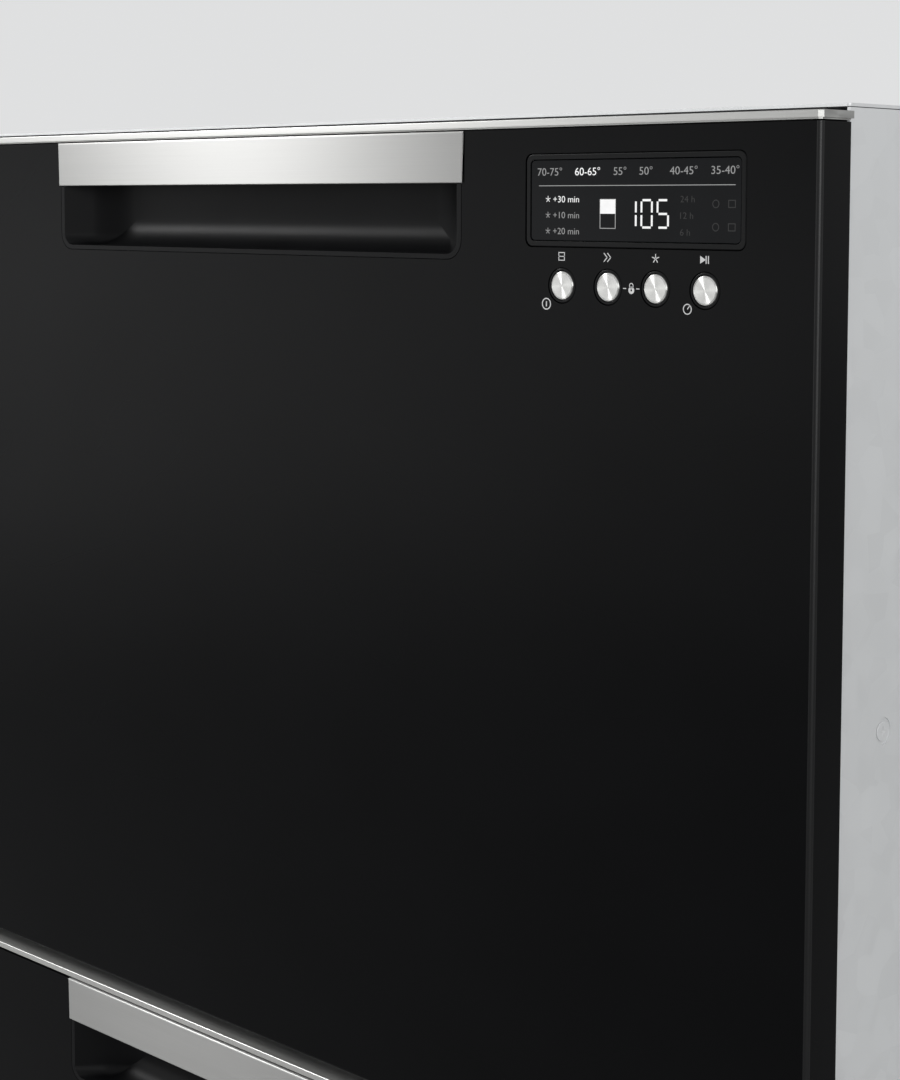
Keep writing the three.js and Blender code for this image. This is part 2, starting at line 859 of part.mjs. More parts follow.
// Slotted plastic basket that stands on the rack's base wires.
function cutleryBasket() {
  const z0 = rackBaseZ() + rimWire / 2 + seat;
  const z1 = z0 + basketHeight;
  const x1 = rackEdges().half - basketSideGap;
  const x0 = x1 - basketWidth;
  const y1 = rackEdges().back - basketBackGap;
  const y0 = y1 - basketLength;
  const w = basketWall;
  const corner = basketCorner;
  let body = prismZ(roundedRect(x0, x1, y0, y1, corner), z0, z1, 2);
  const bayLength = (basketLength - w) / basketBays;
  for (let i = 0; i < basketBays; i++) {
    const from = y0 + w + i * bayLength;
    body = body.subtract(
      prismZ(roundedRect(x0 + w, x1 - w, from, from + bayLength - w, corner - w), z0 + w, z1 + over, 2),
    );
    const middle = from + (bayLength - w) / 2;
    for (const shift of basketSlots) {
      body = body.subtract(
        box(
          x0 - over, x1 + over,
          middle + shift - basketSlotWidth / 2, middle + shift + basketSlotWidth / 2,
          z0 + basketSlotFrom, z0 + basketSlotTo,
        ),
      );
    }
  }
  return body;
}

// ---------------------------------------------------------------- detergent cup

function cupPlaces() {
  const top = -rimDrop - cupDrop;
  const wallY = tubFrontY + tubWall;
  const faceY = wallY + seat + cupDepth;
  const hingeY = faceY + flapHingeProud;
  const hingeZ = top - flapDrop - flapHeight;
  const flapLeft = cupX - flapInset - flapWidth / 2;
  return { top, wallY, faceY, hingeY, hingeZ, flapLeft, flapRight: flapLeft + flapWidth };
}

function detergentCup() {
  const { top, wallY, faceY, hingeY, hingeZ, flapLeft, flapRight } = cupPlaces();
  const backY = wallY + seat;
  const left = cupX - cupWidth / 2;
  const right = cupX + cupWidth / 2;
  const flapTop = top - flapDrop;
  const barrelReach = flapBarrel / 2 + seat;
  const pocket = box(
    flapLeft + cupWall, flapRight - cupWall,
    backY + cupWall, faceY + over,
    hingeZ + flapBarrel, flapTop - cupWall,
  );
  const flapRoom = box(
    flapLeft - seat, flapRight + seat,
    faceY - flapThickness - seat, faceY + over,
    hingeZ - barrelReach, flapTop + seat,
  );
  const barrelRoom = box(
    flapLeft - seat, flapRight + seat,
    hingeY - barrelReach, faceY + over,
    hingeZ - barrelReach, hingeZ + barrelReach,
  );
  let body = prismY(roundedRect(left, right, top - cupHeight, top, cupCorner), backY, faceY);
  body = body.subtract(pocket).subtract(flapRoom).subtract(barrelRoom);
  const lugLeft = flapLeft - seat - lugWidth;
  const lugRight = flapRight + seat;
  for (const x of [lugLeft, lugRight]) {
    body = body.add(
      box(
        x, x + lugWidth,
        faceY - over, hingeY + barrelReach,
        hingeZ - lugHeight / 2, hingeZ + lugHeight / 2,
      ),
    );
  }
  const pin = rod(hingeY, hingeZ, lugLeft + over, lugRight + over, flapPinDiameter, 8);
  const rinseCap = plug(
    cupX + rinseCapInset, top - cupHeight / 2,
    faceY - over, faceY + rinseCapProud,
    rinseCapDiameter,
  );
  return body.add(pin).add(rinseCap);
}

function detergentFlap() {
  const { top, faceY, hingeY, hingeZ, flapLeft, flapRight } = cupPlaces();
  const plate = box(flapLeft, flapRight, faceY - flapThickness, faceY, hingeZ, top - flapDrop);
  const barrel = rod(hingeY, hingeZ, flapLeft, flapRight, flapBarrel);
  const boreDiameter = flapPinDiameter + 2 * flapPinGap;
  const bore = rod(hingeY, hingeZ, flapLeft - over, flapRight + over, boreDiameter, 8);
  return plate.add(barrel).subtract(bore);
}

// ---------------------------------------------------------------- lid
// A shallow moulding, hollow below, that sinks onto the tub's rim. Posts in the cabinet guide it.

function guidePosts() {
  const x = flangeHalf - guidePostInset;
  const y0 = flangeFrontY + guidePostInset;
  const y1 = flangeBackY - guidePostInset;
  return [[-x, y0], [x, y0], [-x, y1], [x, y1]];
}

function lidPlate() {
  const top = -lidTopDrop;
  const bottom = top - lidThickness;
  const bore = guidePostDiameter + 2 * guidePostClearance;
  const boreEnd = top - guidePostEngagement - seat;
  const under = sealInset + sealWidth + lidSkin;
  const hollow = prismZ(flangeOutline(under), bottom - over, top - lidStep - lidSkin).add(
    prismZ(flangeOutline(lidStepInset + lidSkin), bottom - over, top - lidSkin),
  );
  let body = prismZ(flangeOutline(0), bottom, top - lidStep);
  body = body.add(prismZ(flangeOutline(lidStepInset), bottom + over, top)).subtract(hollow);
  for (const [x, y] of guidePosts()) {
    const bossTop = top - lidSkin / 2;
    body = body.add(
      post(x, y, boreEnd - guideBossWall, bossTop, bore + 2 * guideBossWall, postSides),
    );
    body = body.subtract(post(x, y, boreEnd, top + over, bore, postSides));
  }
  return body;
}

function lidSeal() {
  const top = -lidTopDrop - lidThickness - seat;
  const ring = prismZ(flangeOutline(sealInset), top - sealHeight, top);
  return ring.subtract(
    prismZ(flangeOutline(sealInset + sealWidth), top - sealHeight - over, top + over),
  );
}

// Posts that hang from the sheet above a lid; undersideZ is that sheet's lower face.
function hangers(trimZ, undersideZ) {
  const bottom = trimZ - lidTopDrop - guidePostEngagement;
  const root = undersideZ + rootDepth;
  return guidePosts().map(([x, y]) => post(x, y, bottom, root, guidePostDiameter, postSides));
}

// ---------------------------------------------------------------- runners

// C-section opening towards the middle of the machine; outerX is the outside of its web.
function channel(outerX, innerX, height, y0, y1) {
  const t = runnerSheet;
  const profile = polygon([
    [innerX, -height / 2],
    [outerX, -height / 2],
    [outerX, height / 2],
    [innerX, height / 2],
    [innerX, height / 2 - t],
    [outerX - t, height / 2 - t],
    [outerX - t, -height / 2 + t],
    [innerX, -height / 2 + t],
  ]);
  return prismY(profile, y0, y1);
}

const nest = runnerSheet + runnerGap;

function runnerOuter() {
  const y0 = runnerFrontY;
  return channel(runnerOuterX, runnerInnerX + outerLip, runnerHeight, y0, y0 + runnerLength);
}

function runnerMiddle() {
  const outerX = runnerOuterX - nest;
  return channel(
    outerX, runnerInnerX + middleLip, runnerHeight - 2 * nest,
    runnerFrontY, runnerFrontY + runnerLength,
  );
}

// The inner member turns its open side outwards, so its web can be fixed to the tub's pad.
function runnerInner() {
  const height = runnerHeight - 4 * nest;
  const t = runnerSheet;
  const farX = runnerOuterX - 2 * nest;
  const profile = polygon([
    [farX, -height / 2],
    [farX, -height / 2 + t],
    [runnerInnerX + t, -height / 2 + t],
    [runnerInnerX + t, height / 2 - t],
    [farX, height / 2 - t],
    [farX, height / 2],
    [runnerInnerX, height / 2],
    [runnerInnerX, -height / 2],
  ]);
  return prismY(profile, runnerFrontY, runnerFrontY + runnerLength);
}

function bothSides(name, body, material, z) {
  return [
    piece(`${name}_right`, body, material, [0, 0, z]),
    piece(`${name}_left`, body.mirror([1, 0, 0]), material, [0, 0, z]),
  ];
}

// ---------------------------------------------------------------- drawers

function controls() {
  const group = new THREE.Group();
  group.add(piece("control_fascia", controlFascia(), blackPlastic));
  group.add(piece("display_window", displayWindow(), smokedGlass));
  group.add(piece("display_board", displayBoard(), boardGreen));
  const names = ["drawer_button", "cycle_button", "option_button", "start_button"];
  buttonPlaces().forEach((x, i) => {
    const name = names[i] ?? `extra_button_${i}`;
    group.add(piece(name, pushButton(), brushedSteel, [x, frontY, -buttonDrop]));
  });
  return group;
}

function drawer(prefix, trimZ, frontHeight, { withControls, withBasket }) {
  const group = new THREE.Group();
  group.position.z = trimZ;
  const add = (name, body, material) => group.add(piece(`${prefix}_${name}`, body, material));
  add("front_panel", frontPan(frontHeight, withControls), blackFront);
  add("inner_panel", innerPanel(frontHeight), innerSteel);
  add("top_trim", topTrim(), satinTrim);
  add("handle_strip", handleStrip(), brushedSteel);
  add("handle_recess", handleRecess(), blackPlastic);
  add("tub", washTub(), tubPlastic);
  add("wash_motor", washMotor(), greyPlastic);
  add("filter_plate", filterPlate(), filterSteel);
  add("spray_arm", sprayArm(), greyPlastic);
  add("dish_rack", dishRack(), rackCoat);
  add("detergent_cup", detergentCup(), greyPlastic);
  add("detergent_flap", detergentFlap(), lidPlastic);
  group.add(...bothSides(`${prefix}_runner_inner`, runnerInner(), runnerZinc, runnerZ));
  if (withBasket) add("cutlery_basket", cutleryBasket(), greyPlastic);
  if (withControls) group.add(controls());
  return group;
}

function lidSet(prefix, trimZ) {
  const group = new THREE.Group();
  group.position.z = trimZ;
  group.add(piece(`${prefix}_lid`, lidPlate(), lidPlastic));
  group.add(piece(`${prefix}_lid_seal`, lidSeal(), sealRubber));
  return group;
}

function cabinetRunners(prefix, trimZ) {
  const group = new THREE.Group();
  group.position.z = trimZ;
  group.add(...bothSides(`${prefix}_runner_outer`, runnerOuter(), runnerZinc, runnerZ));
  group.add(...bothSides(`${prefix}_runner_middle`, runnerMiddle(), runnerZinc, runnerZ));
  return group;
}

// ---------------------------------------------------------------- cabinet

function footPlaces() {
  const x = chassisHalf - footInsetX;
  const front = toeY + footInsetFront - toeSetback;
  const rear = halfDepth - footInsetRear;
  return {
    foot_front_left: [-x, front],
    foot_front_right: [x, front],
    foot_rear_left: [-x, rear],
    foot_rear_right: [x, rear],
  };
}

// Side sheet, cut back at the toe, with a flange turned in at the rear.
function sidePanel() {
  const outline = polygon([
    [chassisFrontY, toeHeight],
    [toeY, toeHeight],
    [toeY, baseZ],
    [halfDepth - panelThickness - seat, baseZ],
    [halfDepth - panelThickness - seat, roofZ - seat],
    [chassisFrontY, roofZ - seat],
  ]);
  const web = prismX(outline, chassisHalf - panelThickness, chassisHalf);
  const rearY = halfDepth - panelThickness - seat;
  const flange = box(
    chassisHalf - rearFlange, chassisHalf,
    rearY - panelThickness, rearY,
    baseZ, roofZ - seat,
  );
  return web.add(flange);
}

function topPanel() {
  const plate = box(-chassisHalf, chassisHalf, chassisFrontY, halfDepth, roofZ, machineHeight);
  return join([plate, ...hangers(upperTrimZ, roofZ)]);
}

function backPanel() {
  const plate = box(
    -chassisHalf, chassisHalf,
    halfDepth - panelThickness, halfDepth,
    baseZ, roofZ - seat,
  );
  const hole = roundedRect(
    grommetX - grommetWidth / 2, grommetX + grommetWidth / 2,
    grommetZ - grommetHeight / 2, grommetZ + grommetHeight / 2,
    grommetHeight / 2 - grommetFlat,
  );
  return plate.subtract(prismY(hole, halfDepth - panelThickness - over, halfDepth + over));
}

// Rubber ring in the back panel where the hoses and supply lead leave.
function hoseGrommet() {
  const halfW = grommetWidth / 2;
  const halfH = grommetHeight / 2;
  const ring = (grow) =>
    roundedRect(
      grommetX - halfW - grow, grommetX + halfW + grow,
      grommetZ - halfH - grow, grommetZ + halfH + grow,
      halfH - grommetFlat + grow,
    );
  const inner = halfDepth - panelThickness - seat;
  const bush = prismY(ring(-seat), inner - rootDepth, halfDepth);
  const lip = prismY(ring(grommetLip), inner - grommetWall, inner);
  return bush.add(lip).subtract(prismY(ring(-grommetWall), inner - grommetWall - over, halfDepth + over));
}

// Folded base tray with a boss under it for each foot.
function basePan() {
  const half = chassisHalf - panelThickness - seat;
  const y0 = toeY + panelThickness + 2 * seat;
  const y1 = halfDepth - 2 * panelThickness - 2 * seat;
  const t = panelThickness;
  const tray = box(-half, half, y0, y1, baseZ, baseZ + baseFlange).subtract(
    box(-half + t, half - t, y0 + t, y1 - t, baseZ + t, baseZ + baseFlange + over),
  );
  let body = tray;
  for (const [x, y] of Object.values(footPlaces())) {
    body = body.add(post(x, y, baseZ - footBossHeight, baseZ + rootDepth, footBossDiameter));
  }
  for (const [x, y] of Object.values(footPlaces())) {
    const bore = footStudDiameter + 2 * footClearance;
    body = body.subtract(post(x, y, baseZ - footBossHeight - over, baseZ + t + over, bore));
  }
  return body;
}

function levellingFoot() {
  const pad = post(0, 0, 0, footPadHeight, footPadDiameter);
  const root = footPadHeight - rootDepth;
  const stud = post(0, 0, root, footPadHeight + footStudLength, footStudDiameter, postSides);
  return pad.add(stud);
}

// Sheet between the drawers; its folded front edge braces the cabinet.
function middleShelf() {
  const half = chassisHalf - panelThickness - seat;
  const back = halfDepth - 2 * panelThickness - 2 * seat;
  const plate = box(-half, half, chassisFrontY, back, shelfZ, shelfZ + panelThickness);
  const brace = box(
    -half, half,
    chassisFrontY, chassisFrontY + braceDepth,
    shelfZ, shelfZ + braceHeight,
  ).subtract(
    box(
      -half - over, half + over,
      chassisFrontY + panelThickness, chassisFrontY + braceDepth + over,
      shelfZ + panelThickness, shelfZ + braceHeight - panelThickness,
    ),
  );
  return join([plate, brace, ...hangers(lowerTrimZ, shelfZ)]);
}

function toeKick() {
  const profile = polygon([
    [toeY, toeBottom],
    [toeY + panelThickness, toeBottom],
    [toeY + panelThickness, toeHeight - panelThickness],
    [toeY + toeReturn, toeHeight - panelThickness],
    [toeY + toeReturn, toeHeight],
    [toeY, toeHeight],
  ]);
  return prismX(profile, -chassisHalf + panelThickness + seat, chassisHalf - panelThickness - seat);
}

function cabinet() {
  const group = new THREE.Group();
  group.add(piece("side_panel_right", sidePanel(), galvanised));
  group.add(piece("side_panel_left", sidePanel().mirror([1, 0, 0]), galvanised));
  group.add(piece("top_panel", topPanel(), galvanised));
  group.add(piece("back_panel", backPanel(), galvanised));
  group.add(piece("base_pan", basePan(), galvanised));
  group.add(piece("middle_shelf", middleShelf(), galvanised));
  group.add(piece("toe_kick", toeKick(), blackPlastic));
  group.add(piece("hose_grommet", hoseGrommet(), sealRubber));
  for (const [name, [x, y]] of Object.entries(footPlaces())) {
    group.add(piece(name, levellingFoot(), blackPlastic, [x, y, 0]));
  }
  return group;
}

// ---------------------------------------------------------------- machine

const dishwasher = new THREE.Group();
dishwasher.add(cabinet());
for (const [prefix, trimZ] of [["upper", upperTrimZ], ["lower", lowerTrimZ]]) {
  dishwasher.add(lidSet(prefix, trimZ), cabinetRunners(prefix, trimZ));
}
dishwasher.add(
  drawer("upper", upperTrimZ, upperFrontHeight, { withControls: true, withBasket: true }),
  drawer("lower", lowerTrimZ, lowerFrontHeight, { withControls: false, withBasket: false }),
);

export default dishwasher;
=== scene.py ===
import json
import math

import bpy
from mathutils import Matrix, Quaternion, Vector


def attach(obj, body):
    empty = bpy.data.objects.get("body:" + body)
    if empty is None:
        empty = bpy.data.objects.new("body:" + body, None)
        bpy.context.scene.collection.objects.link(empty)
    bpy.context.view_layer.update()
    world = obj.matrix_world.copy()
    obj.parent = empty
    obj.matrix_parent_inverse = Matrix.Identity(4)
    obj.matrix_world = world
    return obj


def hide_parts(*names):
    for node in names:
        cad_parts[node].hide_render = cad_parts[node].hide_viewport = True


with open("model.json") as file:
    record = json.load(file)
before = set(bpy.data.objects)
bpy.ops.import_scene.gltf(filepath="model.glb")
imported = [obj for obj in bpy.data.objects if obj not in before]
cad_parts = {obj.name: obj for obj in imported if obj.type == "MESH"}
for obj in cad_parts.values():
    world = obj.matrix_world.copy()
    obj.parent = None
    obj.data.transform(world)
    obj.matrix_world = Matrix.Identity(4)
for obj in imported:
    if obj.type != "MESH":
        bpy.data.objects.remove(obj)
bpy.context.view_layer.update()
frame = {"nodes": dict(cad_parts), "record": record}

nodes = frame["nodes"]
mm = 0.001

# Main faces of the machine in millimetres. A drop is measured down from the top of a drawer's trim.
machine = {
    "frontHalf": 299.0,
    "frontY": -285.9,
    "stripY": -286.5,
    "upperTop": 817.0,
    "lowerTop": 407.3,
    "upperHeight": 403.0,
    "lowerHeight": 337.3,
}
frontY = machine["frontY"]
stripY = machine["stripY"]
upperTop = machine["upperTop"]
lowerTop = machine["lowerTop"]
dropToLower = (0, 0, lowerTop - upperTop)


# Modelling helpers. Places are in millimetres, and a cutter runs a little past each face that it cuts.

def objectMode():
    if bpy.context.object and bpy.context.object.mode != "OBJECT":
        bpy.ops.object.mode_set(mode="OBJECT")


def selectNone():
    objectMode()
    bpy.ops.object.select_all(action="DESELECT")


def onlySelect(*pieces):
    selectNone()
    for piece in pieces:
        piece.select_set(True)
    bpy.context.view_layer.objects.active = pieces[0]


def settle(piece):
    onlySelect(piece)
    bpy.ops.object.transform_apply(location=True, rotation=True, scale=True)
    return piece


# A box between two places on each axis.
def block(name, x, y, z):
    selectNone()
    middle = [mm * (a + b) / 2 for a, b in (x, y, z)]
    size = [mm * (b - a) for a, b in (x, y, z)]
    bpy.ops.mesh.primitive_cube_add(size=1, location=middle, scale=size)
    piece = bpy.context.object
    piece.name = name
    return settle(piece)


turns = {"X": (0, math.pi / 2, 0), "Y": (math.pi / 2, 0, 0), "Z": (0, 0, 0)}


# A round bar along one axis, from one place on it to another.
def disc(name, radius, axis, span, at, sides=40):
    selectNone()
    middle = list(at)
    middle.insert("XYZ".index(axis), (span[0] + span[1]) / 2)
    bpy.ops.mesh.primitive_cylinder_add(
        vertices=sides, radius=radius * mm, depth=(span[1] - span[0]) * mm,
        location=[v * mm for v in middle], rotation=turns[axis],
    )
    piece = bpy.context.object
    piece.name = name
    return settle(piece)


# Opens a piece for editing with the faces, edges or points chosen by place (mm) and direction.
def choose(piece, kind, test):
    onlySelect(piece)
    bpy.ops.object.mode_set(mode="EDIT")
    bpy.ops.mesh.select_mode(type=kind)
    bpy.ops.mesh.select_all(action="DESELECT")
    bpy.ops.object.mode_set(mode="OBJECT")
    mesh = piece.data
    if kind == "FACE":
        for face in mesh.polygons:
            face.select = bool(test(face.center / mm, face.normal))
    elif kind == "EDGE":
        for edge in mesh.edges:
            a, b = (mesh.vertices[i].co for i in edge.vertices)
            edge.select = bool(test((a + b) / 2 / mm, (b - a).normalized()))
    else:
        for point in mesh.vertices:
            point.select = bool(test(point.co / mm))
    bpy.ops.object.mode_set(mode="EDIT")


def bevelEdges(piece, test, width, steps=4):
    choose(piece, "EDGE", test)
    bpy.ops.mesh.bevel(offset=width * mm, segments=steps, affect="EDGES")
    objectMode()
    return piece


# Rounds the edges that run along an axis; test narrows which of them.
def roundAlong(piece, axis, width, steps=5, test=None):
    i = "XYZ".index(axis)
    return bevelEdges(
        piece,
        lambda at, way: abs(way[i]) > 0.99 and (test is None or test(at)),
        width, steps,
    )


# Rounds the edges that lie square to an axis, as round the end of a disc.
def roundRim(piece, axis, width, steps=4, test=None):
    i = "XYZ".index(axis)
    return bevelEdges(
        piece,
        lambda at, way: abs(way[i]) < 0.1 and (test is None or test(at)),
        width, steps,
    )


# Insets the chosen faces and pushes them along an axis, to make the lip of a rim or a pan.
def insetThenMove(thickness, *move):
    bpy.ops.mesh.inset(thickness=thickness * mm, depth=0)
    bpy.ops.mesh.extrude_region_move(TRANSFORM_OT_translate={"value": [v * mm for v in move]})
    objectMode()


def applyAll(piece):
    onlySelect(piece)
    for modifier in list(piece.modifiers):
        bpy.ops.object.modifier_apply(modifier=modifier.name)


# Boolean with other pieces, which are used up.
def combine(piece, others, operation="DIFFERENCE"):
    for other in others:
        modifier = piece.modifiers.new("combine", "BOOLEAN")
        modifier.operation = operation
        modifier.solver = "EXACT"
        modifier.object = other
        applyAll(piece)
        bpy.data.objects.remove(other)
    return piece


def cut(piece, *others):
    return combine(piece, others)


def fuse(piece, *others):
    return combine(piece, others, "UNION")


def group(piece, *others):
    onlySelect(piece, *others)
    bpy.ops.object.join()
    return piece


# Small round on every sharp edge, then smooth shading that keeps flat faces flat.
def soften(piece, width, steps=2, angle=32):
    modifier = piece.modifiers.new("soften", "BEVEL")
    modifier.width = width * mm
    modifier.segments = steps
    modifier.limit_method = "ANGLE"
    modifier.angle_limit = math.radians(angle)
    applyAll(piece)
    return smooth(piece)


def smooth(piece, angle=40):
    onlySelect(piece)
    bpy.ops.object.shade_smooth_by_angle(angle=math.radians(angle))
    modifier = piece.modifiers.new("even", "WEIGHTED_NORMAL")
    modifier.keep_sharp = True
    applyAll(piece)
    return piece


def duplicate(piece, name, move=(0, 0, 0)):
    twin = piece.copy()
    twin.data = piece.data.copy()
    twin.name = name
    bpy.context.scene.collection.objects.link(twin)
    twin.data.transform(Matrix.Translation(Vector(move) * mm))
    return twin


def mirrored(piece, name):
    twin = duplicate(piece, name)
    twin.data.transform(Matrix.Scale(-1, 4, Vector((1, 0, 0))))
    choose(twin, "FACE", lambda at, way: True)
    bpy.ops.mesh.customdata_custom_splitnormals_clear()
    bpy.ops.mesh.normals_make_consistent(inside=False)
    objectMode()
    return smooth(twin, 35)


def place(piece, body, slot, material, *replaced):
    piece.data.materials.clear()
    piece.data.materials.append(material)
    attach(piece, body)
    if replaced:
        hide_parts(*replaced)


# Places a piece made at the upper drawer's height, and its copy at the lower drawer's.
def placePair(piece, body, slot, material, node):
    twin = duplicate(piece, piece.name.replace("upper", "lower"), dropToLower)
    place(piece, "upper_" + body, slot, material, "upper_" + node)
    place(twin, "lower_" + body, slot, material, "lower_" + node)


# Material helpers

def newMaterial(name, colour, roughness, metallic=0.0, specular=0.5):
    material = bpy.data.materials.new(name)
    material.use_nodes = True
    shader = material.node_tree.nodes["Principled BSDF"]
    shader.inputs["Base Color"].default_value = (*colour, 1)
    shader.inputs["Roughness"].default_value = roughness
    shader.inputs["Metallic"].default_value = metallic
    shader.inputs["Specular IOR Level"].default_value = specular
    return material


def shaderOf(material):
    return material.node_tree.nodes["Principled BSDF"]


# Noise in the piece's own millimetres, stretched by the three sizes of its grain.
def grain(material, size, detail=3.0, rough=0.55):
    tree = material.node_tree
    where = tree.nodes.new("ShaderNodeTexCoord")
    mapping = tree.nodes.new("ShaderNodeMapping")
    mapping.inputs["Scale"].default_value = [1 / (s * mm) for s in size]
    noise = tree.nodes.new("ShaderNodeTexNoise")
    noise.inputs["Scale"].default_value = 1.0
    noise.inputs["Detail"].default_value = detail
    noise.inputs["Roughness"].default_value = rough
    tree.links.new(where.outputs["Object"], mapping.inputs["Vector"])
    tree.links.new(mapping.outputs["Vector"], noise.inputs["Vector"])
    return noise.outputs["Fac"]


def spread(material, source, low, high, clip=(0.3, 0.7)):
    tree = material.node_tree
    node = tree.nodes.new("ShaderNodeMapRange")
    node.inputs["From Min"].default_value = clip[0]
    node.inputs["From Max"].default_value = clip[1]
    node.inputs["To Min"].default_value = low
    node.inputs["To Max"].default_value = high
    tree.links.new(source, node.inputs["Value"])
    return node.outputs["Result"]


def tint(material, source, dark, light, clip=(0.3, 0.7)):
    tree = material.node_tree
    ramp = tree.nodes.new("ShaderNodeValToRGB")
    ramp.color_ramp.elements[0].position = clip[0]
    ramp.color_ramp.elements[1].position = clip[1]
    ramp.color_ramp.elements[0].color = (*dark, 1)
    ramp.color_ramp.elements[1].color = (*light, 1)
    tree.links.new(source, ramp.inputs["Fac"])
    tree.links.new(ramp.outputs["Color"], shaderOf(material).inputs["Base Color"])


def polish(material, source, low, high):
    tree = material.node_tree
    tree.links.new(spread(material, source, low, high), shaderOf(material).inputs["Roughness"])


def relief(material, source, height, strength=1.0):
    tree = material.node_tree
    bump = tree.nodes.new("ShaderNodeBump")
    bump.inputs["Strength"].default_value = strength
    bump.inputs["Distance"].default_value = height * mm
    tree.links.new(source, bump.inputs["Height"])
    tree.links.new(bump.outputs["Normal"], shaderOf(material).inputs["Normal"])


def mix(colour, amount):
    return tuple(min(1.0, c * amount) for c in colour)


# A finish from its own dictionary: mottled colour and sheen and a fine relief, each with its own grain.
def finish(name, look):
    colour, roughness = look["colour"], look["roughness"]
    material = newMaterial(name, colour, sum(roughness) / 2, look.get("metallic", 0), look["specular"])
    shade, sheen, texture = (grain(material, *size) for size in look["grains"])
    tint(material, shade, *(look.get("tints") or [mix(colour, amount) for amount in look["shade"]]))
    polish(material, sheen, *roughness)
    relief(material, texture, *look["relief"])
    return material


# Finishes. A grain is its three sizes in millimetres and the noise's detail; relief is height and strength.

frontBlack = finish("frontBlack", {
    "colour": (0.0018, 0.0019, 0.0022), "shade": (0.85, 1.15), "roughness": (0.25, 0.3), "specular": 0.06,
    "grains": [((90, 90, 60),), ((260, 260, 160), 2), ((6, 6, 6), 2)], "relief": (0.0012, 1.0),
})
# The finger recess has a coarser, duller moulding than the frame round the display.
mouldedBlack = finish("mouldedBlack", {
    "colour": (0.0032, 0.0033, 0.0037), "shade": (0.85, 1.2), "roughness": (0.4, 0.44), "specular": 0.09,
    "grains": [((30, 30, 30),), ((90, 60, 60),), ((0.35, 0.35, 0.35), 2)], "relief": (0.012, 0.5),
})
frameBlack = finish("frameBlack", {
    "colour": (0.003, 0.0032, 0.0035), "roughness": (0.27, 0.33), "specular": 0.1,
    "tints": ((0.0027, 0.0029, 0.0032), (0.0034, 0.0036, 0.0039)),
    "grains": [((20, 20, 20),), ((30, 30, 30),), ((0.3, 0.3, 0.3), 2)], "relief": (0.003, 0.4),
})

# The fronts' rounded upright edges catch a light line.
edge = {"colour": (0.0018, 0.0019, 0.0022), "roughness": (0.32, 0.36), "specular": 0.35}
edgeBlack = newMaterial("edgeBlack", edge["colour"], 0.34, specular=edge["specular"])
polish(edgeBlack, grain(edgeBlack, (90, 90, 120), 2), *edge["roughness"])


# Brushed metal spreads its highlight round the chosen axis.
def brush(material, axis, amount, turn=0.0):
    tangent = material.node_tree.nodes.new("ShaderNodeTangent")
    tangent.direction_type = "RADIAL"
    tangent.axis = axis
    shader = shaderOf(material)
    material.node_tree.links.new(tangent.outputs["Tangent"], shader.inputs["Tangent"])
    shader.inputs["Anisotropic"].default_value = amount
    shader.inputs["Anisotropic Rotation"].default_value = turn


# Brushed metals have one long, thin grain for all three.
brushedSteel = finish("brushedSteel", {
    "colour": (0.2, 0.2, 0.196), "shade": (0.96, 1.04), "roughness": (0.38, 0.42), "metallic": 1,
    "specular": 0.5, "grains": [((60, 0.14, 0.14), 4, 0.6)] * 3, "relief": (0.004, 0.35),
})
brush(brushedSteel, "X", 0.95)
satinTrim = finish("satinTrim", {
    "colour": (0.38, 0.38, 0.37), "shade": (0.94, 1.05), "roughness": (0.36, 0.44), "metallic": 1,
    "specular": 0.5, "grains": [((80, 0.2, 0.2), 3)] * 3, "relief": (0.003, 0.3),
})
brush(satinTrim, "X", 0.7)

# Turned caps: the grain runs in rings, so the light gathers in a cross.
cap = {"colour": (0.58, 0.58, 0.565), "roughness": 0.34, "anisotropy": 0.94, "turn": 0.25}
capSteel = newMaterial("capSteel", cap["colour"], cap["roughness"], metallic=1)
brush(capSteel, "Y", cap["anisotropy"], cap["turn"])
tint(capSteel, grain(capSteel, (0.5, 0.5, 0.5), 2), mix(cap["colour"], 0.94), mix(cap["colour"], 1.05))

lamp = {"lit": 0.95, "soft": 0.3, "line": 0.42, "faint": 0.03}


# Display lamps glow under the smoked window. The unlit printed marks stay a flat grey, given a faint painted
# glow that stands in for room light on them.
def lampMaterial(name, level, colour=(1, 1, 1)):
    material = newMaterial(name, mix(colour, 0.02), 0.5, specular=0)
    shader = shaderOf(material)
    shader.inputs["Emission Color"].default_value = (*colour, 1)
    tree = material.node_tree
    glow = spread(material, grain(material, (3, 3, 3), 2), level * 0.96, level * 1.03)
    tree.links.new(glow, shader.inputs["Emission Strength"])
    return material


litWhite = lampMaterial("litWhite", lamp["lit"])
softWhite = lampMaterial("softWhite", lamp["soft"])
lineWhite = lampMaterial("lineWhite", lamp["line"])
# Painted glow: the unlit hours and signs emit faintly though nothing lights them.
paintedGlowGrey = lampMaterial("paintedGlowGrey", lamp["faint"])

printed = newMaterial("printedWhite", (0.55, 0.55, 0.55), 0.5, specular=0.3)
tint(printed, grain(printed, (1.5, 1.5, 1.5), 2), (0.5, 0.5, 0.5), (0.6, 0.6, 0.6))

smoked = {"colour": (0.0026, 0.003, 0.0038), "roughness": (0.17, 0.22), "specular": 0.07}
smokedWindow = newMaterial("smokedWindow", smoked["colour"], 0.2, specular=smoked["specular"])
tint(smokedWindow, grain(smokedWindow, (25, 25, 25)), mix(smoked["colour"], 0.85), mix(smoked["colour"], 1.2))
polish(smokedWindow, grain(smokedWindow, (40, 40, 40)), *smoked["roughness"])


# Plain finishes of the hidden and inner parts.
def plainFinish(name, colour, roughness, metallic=0.0, size=40.0, texture=0.5, height=0.01, specular=0.5):
    return finish(name, {
        "colour": colour, "shade": (0.92, 1.06), "roughness": roughness, "metallic": metallic,
        "specular": specular, "relief": (height, 0.6),
        "grains": [([size] * 3,), ([size / 3] * 3, 2), ([texture] * 3, 2)],
    })


